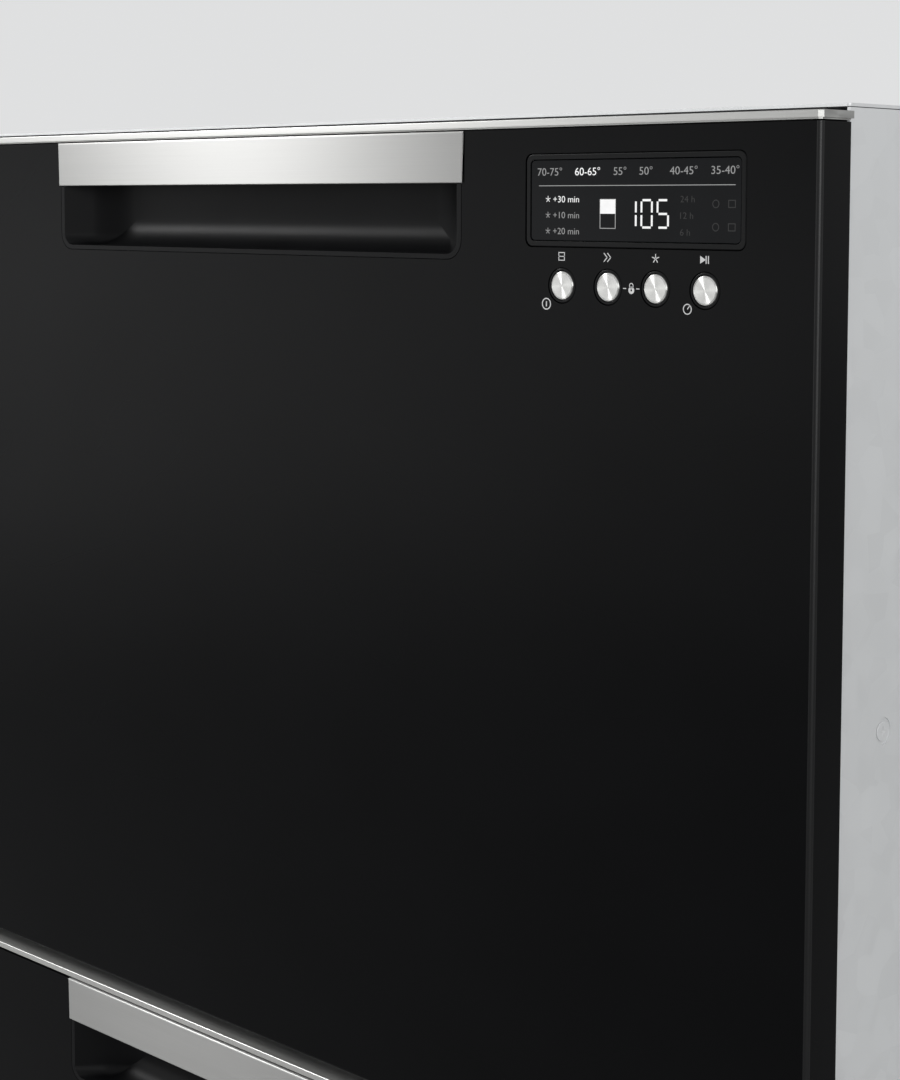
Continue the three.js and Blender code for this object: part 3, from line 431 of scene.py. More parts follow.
# Zinc spangle: crystals about a centimetre across, each a shade lighter or duller than the next.
zinc = {"colour": (0.66, 0.67, 0.675), "crystal": 11.0, "roughness": (0.38, 0.48)}
galvanised = newMaterial("galvanised", zinc["colour"], 0.42, metallic=0.35)
tree = galvanised.node_tree
where = tree.nodes.new("ShaderNodeTexCoord")
crystals = tree.nodes.new("ShaderNodeTexVoronoi")
crystals.inputs["Scale"].default_value = 1 / (zinc["crystal"] * mm)
parted = tree.nodes.new("ShaderNodeSeparateColor")
tree.links.new(where.outputs["Object"], crystals.inputs["Vector"])
tree.links.new(crystals.outputs["Color"], parted.inputs["Color"])
tint(galvanised, parted.outputs["Red"], mix(zinc["colour"], 0.965), mix(zinc["colour"], 1.015), (0.0, 1.0))
polish(galvanised, parted.outputs["Green"], *zinc["roughness"])
relief(galvanised, grain(galvanised, (1.2, 1.2, 1.2), 2), 0.006, 0.5)
innerSteel = plainFinish("innerSteel", (0.1, 0.104, 0.11), (0.42, 0.52), 0.3)
runnerZinc = plainFinish("runnerZinc", (0.6, 0.61, 0.62), (0.24, 0.36), 1.0, 30)
tubPlastic = plainFinish("tubPlastic", (0.5, 0.525, 0.55), (0.36, 0.48), 0, 60, 0.8, 0.02)
lidPlastic = plainFinish("lidPlastic", (0.4, 0.425, 0.45), (0.42, 0.52), 0, 60, 0.6, 0.03)
greyPlastic = plainFinish("greyPlastic", (0.165, 0.18, 0.2), (0.4, 0.5), 0, 30, 0.6, 0.02)
rackCoat = plainFinish("rackCoat", (0.3, 0.325, 0.355), (0.28, 0.4), 0, 20, 0.5, 0.02)
sealRubber = plainFinish("sealRubber", (0.022, 0.023, 0.025), (0.6, 0.75), 0, 15, 0.3, 0.02, 0.3)
boardGreen = plainFinish("boardGreen", (0.018, 0.085, 0.045), (0.35, 0.5), 0, 12, 0.5, 0.01)
blackPlastic = plainFinish("blackPlastic", (0.016, 0.017, 0.019), (0.4, 0.52), 0, 30, 0.5, 0.02, 0.4)
filterSteel = plainFinish("filterSteel", (0.55, 0.56, 0.56), (0.25, 0.36), 1.0, 40)
motorGrey = plainFinish("motorGrey", (0.08, 0.085, 0.095), (0.45, 0.6), 0, 20, 0.6, 0.03)


# Perforated steel: an even grid of holes that are not cut but painted near-black, as painted shade for the
# dark seen through them. Hole and edge are shares of the grid's pitch.
holes = {"pitch": 3.2, "size": 0.3, "edge": 0.04}
filterMesh = newMaterial("filterMesh", (0.55, 0.56, 0.56), 0.32, metallic=1)
tree = filterMesh.node_tree
where = tree.nodes.new("ShaderNodeTexCoord")
grid = tree.nodes.new("ShaderNodeTexVoronoi")
grid.inputs["Scale"].default_value = 1 / (holes["pitch"] * mm)
grid.inputs["Randomness"].default_value = 0.0
tree.links.new(where.outputs["Object"], grid.inputs["Vector"])
grid.voronoi_dimensions = "2D"
clip = (holes["size"] - holes["edge"], holes["size"] + holes["edge"])
solid = spread(filterMesh, grid.outputs["Distance"], 0, 1, clip)
# The hole colour is painted shade; the metal between the holes keeps its own colour.
tint(filterMesh, solid, (0.01, 0.01, 0.011), (0.56, 0.57, 0.57), (0.0, 1.0))
polish(filterMesh, grain(filterMesh, (30, 30, 30)), 0.26, 0.38)
relief(filterMesh, solid, 0.3, 0.6)
print("finishes made")


# Camera, floor and lights

view = {"place": (0.7019, -0.8885, 0.7848), "turn": (85.565, -0.118, 43.716), "lens": 70.181, "shift": -0.16}
cameraData = bpy.data.cameras.new("camera")
camera = bpy.data.objects.new("camera", cameraData)
bpy.context.scene.collection.objects.link(camera)
camera.location = view["place"]
camera.rotation_euler = [math.radians(a) for a in view["turn"]]
cameraData.lens = view["lens"]
cameraData.shift_y = view["shift"]
cameraData.clip_start = 0.01
bpy.context.scene.camera = camera
bpy.context.scene.view_settings.view_transform = "Standard"

studio = {
    "world": (0.74, 0.745, 0.75),
    "floor": (0.4, 0.4, 0.4),
    # name: place (m), aimed at (m), width, height, watts, spread and roll (degrees)
    "lamps": {
        "overheadLamp": ((0.2, 0.3, 3.2), (0, 0.1, 0.4), 2.2, 2.2, 9.0, 180, 0),
        "wideLamp": ((-2.0, -2.5, 0.52), (0, -0.29, 0.65), 2.1, 0.84, 2.5, 100, 0),
        "leftLamp": ((-2.376, -1.662, 2.255), (-0.01, -0.286, 0.8), 0.24, 1.2, 18.5, 100, 38.9),
        "rightLamp": ((2.5, -1.7, 1.2), (0.3, -0.29, 0.6), 1.5, 1.5, 9.0, 100, 0),
    },
}
world = bpy.data.worlds.new("studio")
bpy.context.scene.world = world
world.use_nodes = True
world.node_tree.nodes["Background"].inputs["Color"].default_value = (*studio["world"], 1)
world.node_tree.nodes["Background"].inputs["Strength"].default_value = 1.0

selectNone()
bpy.ops.mesh.primitive_plane_add(size=24, location=(0, 0, 0))
floor = bpy.context.object
floor.name = "floor"
settle(floor)
floorPaint = newMaterial("floorPaint", studio["floor"], 0.85, specular=0.1)
patches = grain(floorPaint, (900, 900, 900), 2)
tint(floorPaint, patches, mix(studio["floor"], 0.985), mix(studio["floor"], 1.01))
floor.data.materials.append(floorPaint)

for name, (at, aim, width, height, watts, angle, roll) in studio["lamps"].items():
    lampData = bpy.data.lights.new(name, "AREA")
    lampData.shape = "RECTANGLE"
    lampData.size, lampData.size_y = width, height
    lampData.energy = watts
    lampData.spread = math.radians(angle)
    light = bpy.data.objects.new(name, lampData)
    bpy.context.scene.collection.objects.link(light)
    light.location = at
    turn = (Vector(aim) - Vector(at)).to_track_quat("-Z", "Y") @ Quaternion((0, 0, 1), math.radians(roll))
    light.rotation_euler = turn.to_euler()
print("stage set")


# Drawer fronts. Each panel is made by itself; the pieces on it are made once and copied for the lower one.

front = {
    "depth": 18.0, "sheet": 1.4, "edge": 1.8, "topDrop": 3.8, "hem": 1.0,
    "recessHalf": 132.0, "recessBottom": 54.2, "recessCorner": 8.0,
    "stripHalf": 133.5, "stripBottom": 24.0,
}
display = {"left": 165.75, "right": 268.45, "top": 13.25, "bottom": 48.35, "corner": 3.2, "frame": 2.2,
           "room": 0.2}
buttons = {"first": 184.1, "pitch": 22.27, "drop": 62.8, "radius": 5.35, "collar": 6.7, "room": 0.15}
buttonNames = ["drawer_button", "cycle_button", "option_button", "start_button"]
buttonBodies = ["drawer_button_cap", "cycle_button_cap", "option_button_cap", "start_button_cap"]
buttonX = [buttons["first"] + i * buttons["pitch"] for i in range(4)]


# Opening with round lower corners, open at the top, as a solid to cut with.
def bucket(name, half, top, low, corner, y0, y1):
    piece = block(name, (-half, half), (y0, y1), (low, top))
    return roundAlong(piece, "Y", corner, 7, lambda at: at.z < low + 1)


def frontPanel(name, top, height, withControls):
    half = machine["frontHalf"]
    low = top - height
    high = top - front["topDrop"]
    back = frontY + front["depth"]
    pan = block(name, (-half, half), (frontY, back), (low, high))
    roundAlong(pan, "Z", front["edge"], 6, lambda at: at.y < frontY + 1)
    roundAlong(pan, "X", front["hem"], 3, lambda at: at.y < frontY + 1 and at.z < low + 1)
    choose(pan, "FACE", lambda at, way: way.y > 0.9)
    insetThenMove(front["sheet"], 0, front["sheet"] - front["depth"], 0)
    inside = frontY + front["sheet"] + 1
    openings = [
        bucket("notch", front["recessHalf"], top + 5, top - front["recessBottom"],
               front["recessCorner"], frontY - 2, inside),
        block("stripNotch", (-front["stripHalf"], front["stripHalf"]), (frontY - 2, back + 2),
              (top - front["stripBottom"], top + 5)),
    ]
    if withControls:
        room = display["room"]
        hole = block("displayHole", (display["left"] - room, display["right"] + room), (frontY - 2, inside),
                     (top - display["bottom"] - room, top - display["top"] + room))
        openings.append(roundAlong(hole, "Y", display["corner"], 6))
        for x in buttonX:
            openings.append(disc("hole", buttons["collar"] + buttons["room"], "Y", (frontY - 2, inside),
                                 (x, top - buttons["drop"]), 48))
    cut(pan, *openings)
    return smooth(pan, 35)


upperFront = frontPanel("upperFront", upperTop, machine["upperHeight"], True)
place(upperFront, "upper_drawer", "black_front", frontBlack, "upper_front_panel")
lowerFront = frontPanel("lowerFront", lowerTop, machine["lowerHeight"], False)
place(lowerFront, "lower_drawer", "black_front", frontBlack, "lower_front_panel")
for panel in (upperFront, lowerFront):
    panel.data.materials.append(edgeBlack)
    for face in panel.data.polygons:
        if face.normal.y < -0.1 and abs(face.normal.x) > 0.1:
            face.material_index = 1

# Extruded trim: a flat face with a set-back lip under it, and mitred ends.
trim = {"face": 2.6, "lip": 0.6, "setBack": 0.8, "back": -266.1, "mitre": 1.5, "round": 0.35}
half = machine["frontHalf"]
upperTrim = block("upperTrim", (-half, half), (frontY, trim["back"]), (upperTop - trim["face"], upperTop))
roundAlong(upperTrim, "Z", trim["mitre"], 1, lambda at: at.y < frontY + 1)
choose(upperTrim, "FACE", lambda at, way: way.z < -0.9)
insetThenMove(trim["setBack"], 0, 0, -trim["lip"])
roundRim(upperTrim, "Z", trim["round"], 3, lambda at: at.z > upperTop - 0.1 and at.y < frontY + 1)
smooth(upperTrim, 30)

# Bent strip: rounded top edge with a return under the trim, hemmed below, a touch narrower at its foot.
strip = {"half": 133.2, "top": 3.8, "bottom": 24.0, "sheet": 1.4, "return": 14.0, "hem": 4.0, "taper": 0.6,
         "setBack": 0.4, "topRound": 0.9, "footRound": 0.35, "endRound": 0.3}
stripLow, stripHigh = upperTop - strip["bottom"], upperTop - strip["top"]
upperStrip = block("upperStrip", (-strip["half"], strip["half"]), (stripY, stripY + strip["sheet"]),
                   (stripLow, stripHigh))
for low, depth in ((strip["top"] + strip["sheet"], strip["return"]), (strip["bottom"], strip["hem"])):
    z = upperTop - low
    flange = block("flange", (-strip["half"], strip["half"]), (stripY + strip["setBack"], stripY + depth),
                   (z, z + strip["sheet"]))
    fuse(upperStrip, flange)
roundAlong(upperStrip, "X", strip["topRound"], 5, lambda at: at.y < stripY + 0.1 and at.z > stripHigh - 0.1)
roundAlong(upperStrip, "X", strip["footRound"], 3, lambda at: at.y < stripY + 0.1 and at.z < stripLow + 0.1)
roundAlong(upperStrip, "Z", strip["endRound"], 2, lambda at: at.y < stripY + 0.1)
for side in (-1, 1):
    choose(upperStrip, "VERT", lambda at: at.x * side > strip["half"] - 1 and at.z < stripLow + 2)
    bpy.ops.transform.translate(value=(-side * strip["taper"] * mm, 0, 0))
    objectMode()
smooth(upperStrip, 30)

# Moulded scoop behind the strip: drafted side walls and a swept floor, with a lip all round the opening.
scoop = {"half": 131.7, "bottom": 53.9, "corner": 7.7, "depth": 22.0, "top": 5.8, "lip": 1.9, "wall": 1.6,
         "draft": 0.86, "sweep": 13.0, "gap": 0.3}


def makeScoop(name, top):
    low = top - scoop["bottom"]
    high = top - scoop["top"]
    back = frontY + scoop["depth"]
    shell = bucket(name, scoop["half"], high, low, scoop["corner"], frontY, back)
    mouth = scoop["half"] - scoop["lip"]
    deep = back - scoop["wall"]
    hollow = block("hollow", (-mouth, mouth), (frontY - 0.5, deep),
                   (low + scoop["lip"], high - scoop["wall"]))
    roundAlong(hollow, "Y", scoop["corner"] - scoop["lip"], 8, lambda at: at.z < low + 4)
    choose(hollow, "VERT", lambda at: at.y > deep - 0.5)
    bpy.ops.transform.resize(value=(scoop["draft"], 1, 1), center_override=(0, 0, 0))
    objectMode()
    side = mouth * scoop["draft"] - 7
    roundRim(hollow, "Y", scoop["sweep"], 12,
             lambda at: at.y > deep - 0.5 and (at.z < low + 12 or abs(at.x) > side))
    stripRoom = block("stripRoom", (-scoop["half"] - 2, scoop["half"] + 2),
                      (frontY - 3, stripY + strip["hem"] + scoop["gap"]),
                      (top - strip["bottom"] - scoop["gap"], high + 3))
    cut(shell, hollow, stripRoom)
    return soften(shell, 0.35, 3, 50)


placePair(upperTrim, "drawer", "satin_trim", satinTrim, "top_trim")
placePair(upperStrip, "drawer", "brushed_steel", brushedSteel, "handle_strip")
placePair(makeScoop("upperScoop", upperTop), "drawer", "black_plastic", mouldedBlack, "handle_recess")
print("fronts made")


# Control moulding: one plate behind the skin, with the display's frame and the four collars standing forward.
moulding = {"plate": 3.0, "margin": 6.0, "corner": 5.0, "setBack": 0.2, "gap": 0.3, "bore": 5.6,
            "pocketCorner": 2.0, "rimRound": 0.55, "collarRound": 0.5, "collarSetBack": 0.15}
plateY = frontY + front["sheet"] + moulding["gap"]
plateBack = plateY + moulding["plate"]
high = upperTop - display["top"]
low = upperTop - display["bottom"]
controlPlate = block(
    "controlMoulding",
    (display["left"] - moulding["margin"], display["right"] + moulding["margin"]),
    (plateY, plateBack),
    (upperTop - buttons["drop"] - buttons["collar"] - moulding["margin"], high + 3),
)
roundAlong(controlPlate, "Y", moulding["corner"], 5)
rim = block("rim", (display["left"], display["right"]), (frontY + moulding["setBack"], plateY + 1),
            (low, high))
roundAlong(rim, "Y", display["corner"], 8)
roundRim(rim, "Y", moulding["rimRound"], 3, lambda at: at.y < frontY + 1)
pocket = block(
    "pocket",
    (display["left"] + display["frame"], display["right"] - display["frame"]), (frontY - 2, plateBack + 1),
    (low + display["frame"], high - display["frame"]),
)
roundAlong(pocket, "Y", moulding["pocketCorner"], 8)
buttonZ = upperTop - buttons["drop"]
collars = [
    disc("collar", buttons["collar"], "Y", (frontY + moulding["collarSetBack"], plateY + 1), (x, buttonZ), 64)
    for x in buttonX
]
for collar in collars:
    roundRim(collar, "Y", moulding["collarRound"], 3, lambda at: at.y < frontY + 1)
fuse(controlPlate, rim, *collars)
bores = [disc("bore", moulding["bore"], "Y", (frontY - 2, plateBack + 1), (x, buttonZ), 64) for x in buttonX]
cut(controlPlate, pocket, *bores)
soften(controlPlate, 0.18, 2, 50)
place(controlPlate, "upper_drawer", "black_plastic", frameBlack, "control_fascia")

# Smoked window, a little lower than the front and slightly rounded at its edge.
windowSize = {"setBack": 0.5, "thickness": 2.0, "gap": 2.4, "corner": 1.8}
displayWindow = block(
    "displayWindow",
    (display["left"] + windowSize["gap"], display["right"] - windowSize["gap"]),
    (frontY + windowSize["setBack"], frontY + windowSize["setBack"] + windowSize["thickness"]),
    (low + windowSize["gap"], high - windowSize["gap"]),
)
roundAlong(displayWindow, "Y", windowSize["corner"], 8)
soften(displayWindow, 0.25, 3, 50)
place(displayWindow, "upper_drawer", "smoked_window", smokedWindow, "display_window")

# Turned caps with a rounded edge, a fine groove near it, rings of faces inside it and a retaining flange.
capShape = {"round": 0.5, "length": 5.0, "flange": 1.2, "flangeReach": 0.85,
            "margin": 0.45, "groove": 0.12, "grooveDepth": 0.1, "rings": (0.8, 1.5, 1.5)}


def makeCap(name, x):
    z = buttonZ
    body = disc(name, buttons["radius"], "Y", (frontY, frontY + capShape["length"]), (x, z), 72)
    choose(body, "FACE", lambda at, way: way.y < -0.9)
    bpy.ops.mesh.inset(thickness=capShape["margin"] * mm, depth=0)
    for depth in (-capShape["grooveDepth"], capShape["grooveDepth"]):
        bpy.ops.mesh.inset(thickness=capShape["groove"] * mm, depth=depth * mm)
    for ring in capShape["rings"]:
        bpy.ops.mesh.inset(thickness=ring * mm, depth=0)
    objectMode()
    outer = buttons["radius"] - 0.1
    roundRim(body, "Y", capShape["round"], 4,
             lambda at: at.y < frontY + 0.05 and math.hypot(at.x - x, at.z - z) > outer)
    back = frontY + capShape["length"]
    flange = disc("flange", buttons["radius"] + capShape["flangeReach"], "Y",
                  (back, back + capShape["flange"]), (x, z), 72)
    group(body, flange)
    return smooth(body, 30)


for name, capBody, x in zip(buttonNames, buttonBodies, buttonX):
    place(makeCap(name.replace("_b", "B") + "Cap", x), capBody, "brushed_steel", capSteel, name)
print("controls made")


# Flat marks. Each is drawn as a thin mesh just proud of the window or the front.
ink = {"window": frontY + 0.5, "front": frontY, "thickness": 0.05, "widen": 1.13}


# Turns a flat drawing in X and Z (mm from the trim's top centre) into a thin mark on a face.
def markFrom(piece, x, drop, y, name):
    onlySelect(piece)
    bpy.ops.object.convert(target="MESH")
    piece = bpy.context.object
    piece.data.transform(Matrix.Rotation(math.pi / 2, 4, "X"))
    piece.data.transform(Matrix.Translation(Vector((x, y, upperTop - drop)) * mm))
    piece.name = name
    return piece


# Numerals of a set height in millimetres, centred at x or starting there; the drop is to their middle.
def numerals(name, text, x, drop, height, y, bold=0.0, fromLeft=False):
    selectNone()
    bpy.ops.object.text_add()
    label = bpy.context.object
    label.data.body = text
    label.data.size = 1.4 * height * mm
    label.data.extrude = ink["thickness"] / 2 * mm
    label.data.offset = bold * mm
    label.data.resolution_u = 5
    onlySelect(label)
    bpy.ops.object.convert(target="MESH")
    label = bpy.context.object
    xs = [v.co.x for v in label.data.vertices]
    ys = [v.co.y for v in label.data.vertices]
    low, high, floorY, roofY = min(xs), max(xs), min(ys), max(ys)
    scale = height * mm / (roofY - floorY)
    wide = scale * ink["widen"]
    middle = x + (high - low) * wide / 2 / mm if fromLeft else x
    label.data.transform(Matrix.Translation((-(low + high) / 2, -(floorY + roofY) / 2, 0)))
    label.data.transform(Matrix.Diagonal((wide, scale, 1, 1)))
    return markFrom(label, middle, drop, y - ink["thickness"] / 2, name)


# A flat bar between two points, in millimetres from the trim's top centre.
def stroke(x0, drop0, x1, drop1, width, y):
    length = math.hypot(x1 - x0, drop1 - drop0)
    bar = block("stroke", (-length / 2, length / 2), (y - ink["thickness"], y), (-width / 2, width / 2))
    angle = math.atan2(drop1 - drop0, x1 - x0)
    bar.data.transform(Matrix.Rotation(angle, 4, "Y"))
    middle = Vector(((x0 + x1) / 2, 0, upperTop - (drop0 + drop1) / 2)) * mm
    bar.data.transform(Matrix.Translation(middle))
    return bar


def hoop(x, drop, radius, width, y, sides=40):
    ring = disc("hoop", radius, "Y", (y - ink["thickness"], y), (x, upperTop - drop), sides)
    return cut(ring, disc("inside", radius - width, "Y", (y - 1, y + 1), (x, upperTop - drop), sides))


def frameMark(x0, x1, drop0, drop1, width, y):
    bars = [
        stroke(x0, drop0 + width / 2, x1, drop0 + width / 2, width, y),
        stroke(x0, drop1 - width / 2, x1, drop1 - width / 2, width, y),
        stroke(x0 + width / 2, drop0 + width, x0 + width / 2, drop1 - width, width, y),
        stroke(x1 - width / 2, drop0 + width, x1 - width / 2, drop1 - width, width, y),
    ]
    return group(*bars)


def star(x, drop, radius, width, points, y):
    arms = []
    for i in range(points):
        a = math.radians(-90 + 360 * i / points)
        arms.append(stroke(x, drop, x + radius * math.cos(a), drop + radius * math.sin(a), width, y))
    return group(*arms)


barPlaces = {
    "top": (0, 0, 1, 0), "middle": (0, 0.5, 1, 0.5), "bottom": (0, 1, 1, 1),
    "upperLeft": (0, 0, 0, 0.5), "upperRight": (1, 0, 1, 0.5),
    "lowerLeft": (0, 0.5, 0, 1), "lowerRight": (1, 0.5, 1, 1),
}
digitBars = {
    "0": ["top", "upperLeft", "upperRight", "lowerLeft", "lowerRight", "bottom"],
    "1": ["upperRight", "lowerRight"],
    "5": ["top", "upperLeft", "middle", "lowerRight", "bottom"],
}


def sevenBar(digit, left, right, top, bottom, width, y):
    bars = []
    for bar in digitBars[digit]:
        x0, d0, x1, d1 = barPlaces[bar]
        ends = [left + width / 2, right - width / 2]
        drops = [top + width / 2, (top + bottom) / 2, bottom - width / 2]
        a = [ends[x0], drops[int(d0 * 2)]]
        b = [ends[x1], drops[int(d1 * 2)]]
        i = 0 if a[0] != b[0] else 1
        a[i] += width * 0.6
        b[i] -= width * 0.6
        bars.append((a[0], a[1], b[0], b[1]))
    return group(*[stroke(*bar, width, y) for bar in bars])


def putMark(piece, name, material, slot="smoked_window"):
    piece.name = name
    place(piece, "upper_drawer", slot, material)


pane = ink["window"]
skin = ink["front"]

# What the display shows, in places across and drops from the trim's top centre; lit names what glows.
shown = {
    "temperatures": {"70-75°": 177.4, "60-65°": 195.9, "55°": 211.4, "50°": 223.5, "40-45°": 240.6,
                     "35-40°": 258.9},
    "temperatureDrop": 20.0, "temperatureHeight": 3.0, "litTemperature": "60-65°",
    "divider": (172.0, 263.4), "dividerDrop": 25.3, "dividerWidth": 0.22,
    "options": {"+30 min": 30.35, "+10 min": 36.3, "+20 min": 42.3}, "litOption": "+30 min",
    "starX": 176.6, "star": 1.2, "starWidth": 0.24, "optionX": 179.2, "optionHeight": 2.4,
    "drawer": (202.0, 209.5), "drawerDrops": (30.3, 41.2), "drawerLine": 0.24, "litHeight": 5.4,
    "digits": {"1": (214.0, 219.4), "0": (221.2, 226.8), "5": (228.6, 234.2)},
    "digitDrops": (30.3, 41.0), "digitWidth": 0.8,
    "hours": {"24 h": 30.3, "12 h": 36.2, "6 h": 42.2}, "hourX": 239.3, "hourHeight": 2.3,
    "signX": (255.0, 262.0), "signDrops": (32.0, 40.2), "signLine": 0.3, "hoop": 1.5, "frame": (1.6, 1.4),
}
# How much the outline of the numerals is drawn in, which makes them lighter.
thin = {"lit": -0.012, "plain": -0.024, "litOption": -0.015, "small": -0.02}

for i, (text, x) in enumerate(shown["temperatures"].items()):
    isLit = text == shown["litTemperature"]
    label = numerals("temperature", text, x, shown["temperatureDrop"], shown["temperatureHeight"], pane,
                     thin["lit"] if isLit else thin["plain"])
    putMark(label, f"temperature{i + 1}", litWhite if isLit else softWhite)
left, right = shown["divider"]
drop = shown["dividerDrop"]
putMark(stroke(left, drop, right, drop, shown["dividerWidth"], pane), "divider", lineWhite)
for i, (text, drop) in enumerate(shown["options"].items()):
    isLit = text == shown["litOption"]
    lamplight = litWhite if isLit else softWhite
    mark = star(shown["starX"], drop, shown["star"], shown["starWidth"], 5, pane)
    putMark(mark, f"optionStar{i + 1}", lamplight)
    label = numerals("option", text, shown["optionX"], drop, shown["optionHeight"], pane,
                     thin["litOption"] if isLit else thin["small"], True)
    putMark(label, f"option{i + 1}", lamplight)
left, right = shown["drawer"]
top, bottom = shown["drawerDrops"]
drop = top + shown["litHeight"] / 2
putMark(stroke(left, drop, right, drop, shown["litHeight"], pane), "upperDrawerLit", litWhite)
putMark(frameMark(left, right, top, bottom, shown["drawerLine"], pane), "drawersOutline", lineWhite)
digits = [sevenBar(digit, *ends, *shown["digitDrops"], shown["digitWidth"], pane)
          for digit, ends in shown["digits"].items()]
putMark(group(*digits), "timeLeft", litWhite)
for i, (text, drop) in enumerate(shown["hours"].items()):
    label = numerals("unlit", text, shown["hourX"], drop, shown["hourHeight"], pane, thin["small"], True)
    putMark(label, f"unlitHour{i + 1}", paintedGlowGrey)
signPlaces = [(x, drop) for drop in shown["signDrops"] for x in shown["signX"]]
for i, (x, drop) in enumerate(signPlaces):
    if i % 2:
        wide, tall = shown["frame"]
        mark = frameMark(x - wide, x + wide, drop - tall, drop + tall, shown["signLine"], pane)
    else:
        mark = hoop(x, drop, shown["hoop"], shown["signLine"], pane)
    putMark(mark, f"unlitSign{i + 1}", paintedGlowGrey)

# Printed signs round the buttons: a row over them, two signs below and a lock between dashes.
row = {"top": 50.2, "middle": 51.8, "bottom": 53.4, "line": 0.36}
lock = {"x": 217.6, "bodyDrop": 63.6, "body": 1.35, "keyhole": 0.42, "shackleDrop": 61.9, "shackle": 1.0,
        "line": 0.32, "dashDrop": 63.0, "dash": 0.34}
lockPlace = (lock["x"], upperTop - lock["bodyDrop"])
signs = {
    "drawersSign": group(
        frameMark(182.4, 185.5, row["top"], row["bottom"], 0.32, skin),
        stroke(182.4, row["middle"], 185.5, row["middle"], 0.32, skin),
    ),
    "stepSign": group(*[
        stroke(x, end, x + 1.6, row["middle"], row["line"], skin)
        for x in (204.5, 206.2) for end in (row["top"], row["bottom"])
    ]),
    "optionSign": star(228.7, row["middle"], 1.7, row["line"], 5, skin),
    "pauseSign": group(*[stroke(x, 50.4, x, 53.2, 0.42, skin) for x in (251.4, 252.4)]),
    "powerSign": group(hoop(176.5, 69.9, 2.25, 0.42, skin), stroke(176.5, 68.9, 176.5, 70.9, 0.5, skin)),
    "delaySign": group(hoop(243.3, 69.6, 1.95, 0.36, skin), stroke(243.3, 69.6, 244.5, 68.2, 0.36, skin)),
    "leftDash": stroke(213.7, lock["dashDrop"], 215.2, lock["dashDrop"], lock["dash"], skin),
    "rightDash": stroke(219.9, lock["dashDrop"], 221.4, lock["dashDrop"], lock["dash"], skin),
    "lockSign": group(
        cut(disc("lockBody", lock["body"], "Y", (skin - ink["thickness"], skin), lockPlace, 32),
            disc("keyhole", lock["keyhole"], "Y", (skin - 1, skin + 1), lockPlace, 20)),
        hoop(lock["x"], lock["shackleDrop"], lock["shackle"], lock["line"], skin, 28),
    ),
}
for name, mark in signs.items():
    putMark(mark, name, printed, "black_front")
selectNone()
bpy.ops.mesh.primitive_cylinder_add(
    vertices=3, radius=1.62 * mm, depth=ink["thickness"] * mm,
    location=(249.6 * mm, (skin - ink["thickness"] / 2) * mm, (upperTop - row["middle"]) * mm),
    rotation=(math.pi / 2, math.pi / 2, 0),
)
putMark(settle(bpy.context.object), "startSign", printed, "black_front")
print("display and signs made")


# Insides of a drawer, made at the upper drawer's height and copied down for the lower one.

tub = {
    "half": 270.0, "front": -262.0, "back": 235.0, "wall": 3.0, "corner": 40.0, "floorRound": 17.0,
    "rim": 30.9, "bottom": 282.9, "floor": 279.9, "middle": -13.5,
    "flangeHalf": 278.0, "flangeFront": -263.4, "flangeBack": 243.0, "flange": 4.0, "flangeCorner": 48.0,
    "skirt": 12.0, "skirtInset": 0.6, "skirtInside": 3.0,
    "sideRibs": (-170, -110, -50, 10, 70, 130, 180), "backRibs": (-200, -120, -40, 40, 120, 200),
    "floorRibs": (-60, 60), "ribProud": 3.4, "ribFoot": 22.0, "floorRibEnd": 30.0,
    "padZ": 222.9, "padHeight": 26.0, "padReach": 281.6,
    "mountX": 200.0, "mountHalf": 10.0, "mountFront": -265.8, "mountDrops": (64.2, 214.2),
    "shaftHole": 8.0, "inletX": -150.0, "inletDrop": 120.0, "inlet": 15.0, "inletProud": 2.2,
    "slotHalf": (10.0, 1.4), "slotPitch": 6.0,
}
rimZ = upperTop - tub["rim"]
floorZ = upperTop - tub["floor"]
underZ = upperTop - tub["bottom"]
middleY = tub["middle"]


def roundBox(name, x, y, z, corner, steps=10):
    return roundAlong(block(name, x, y, z), "Z", corner, steps)


# A block with the plan of the tub's flange, drawn in by an inset on all four sides.
def flangePlan(name, inset, z, steps=12):
    half = tub["flangeHalf"] - inset
    y = (tub["flangeFront"] + inset, tub["flangeBack"] - inset)
    return roundBox(name, (-half, half), y, z, tub["flangeCorner"] - inset, steps)


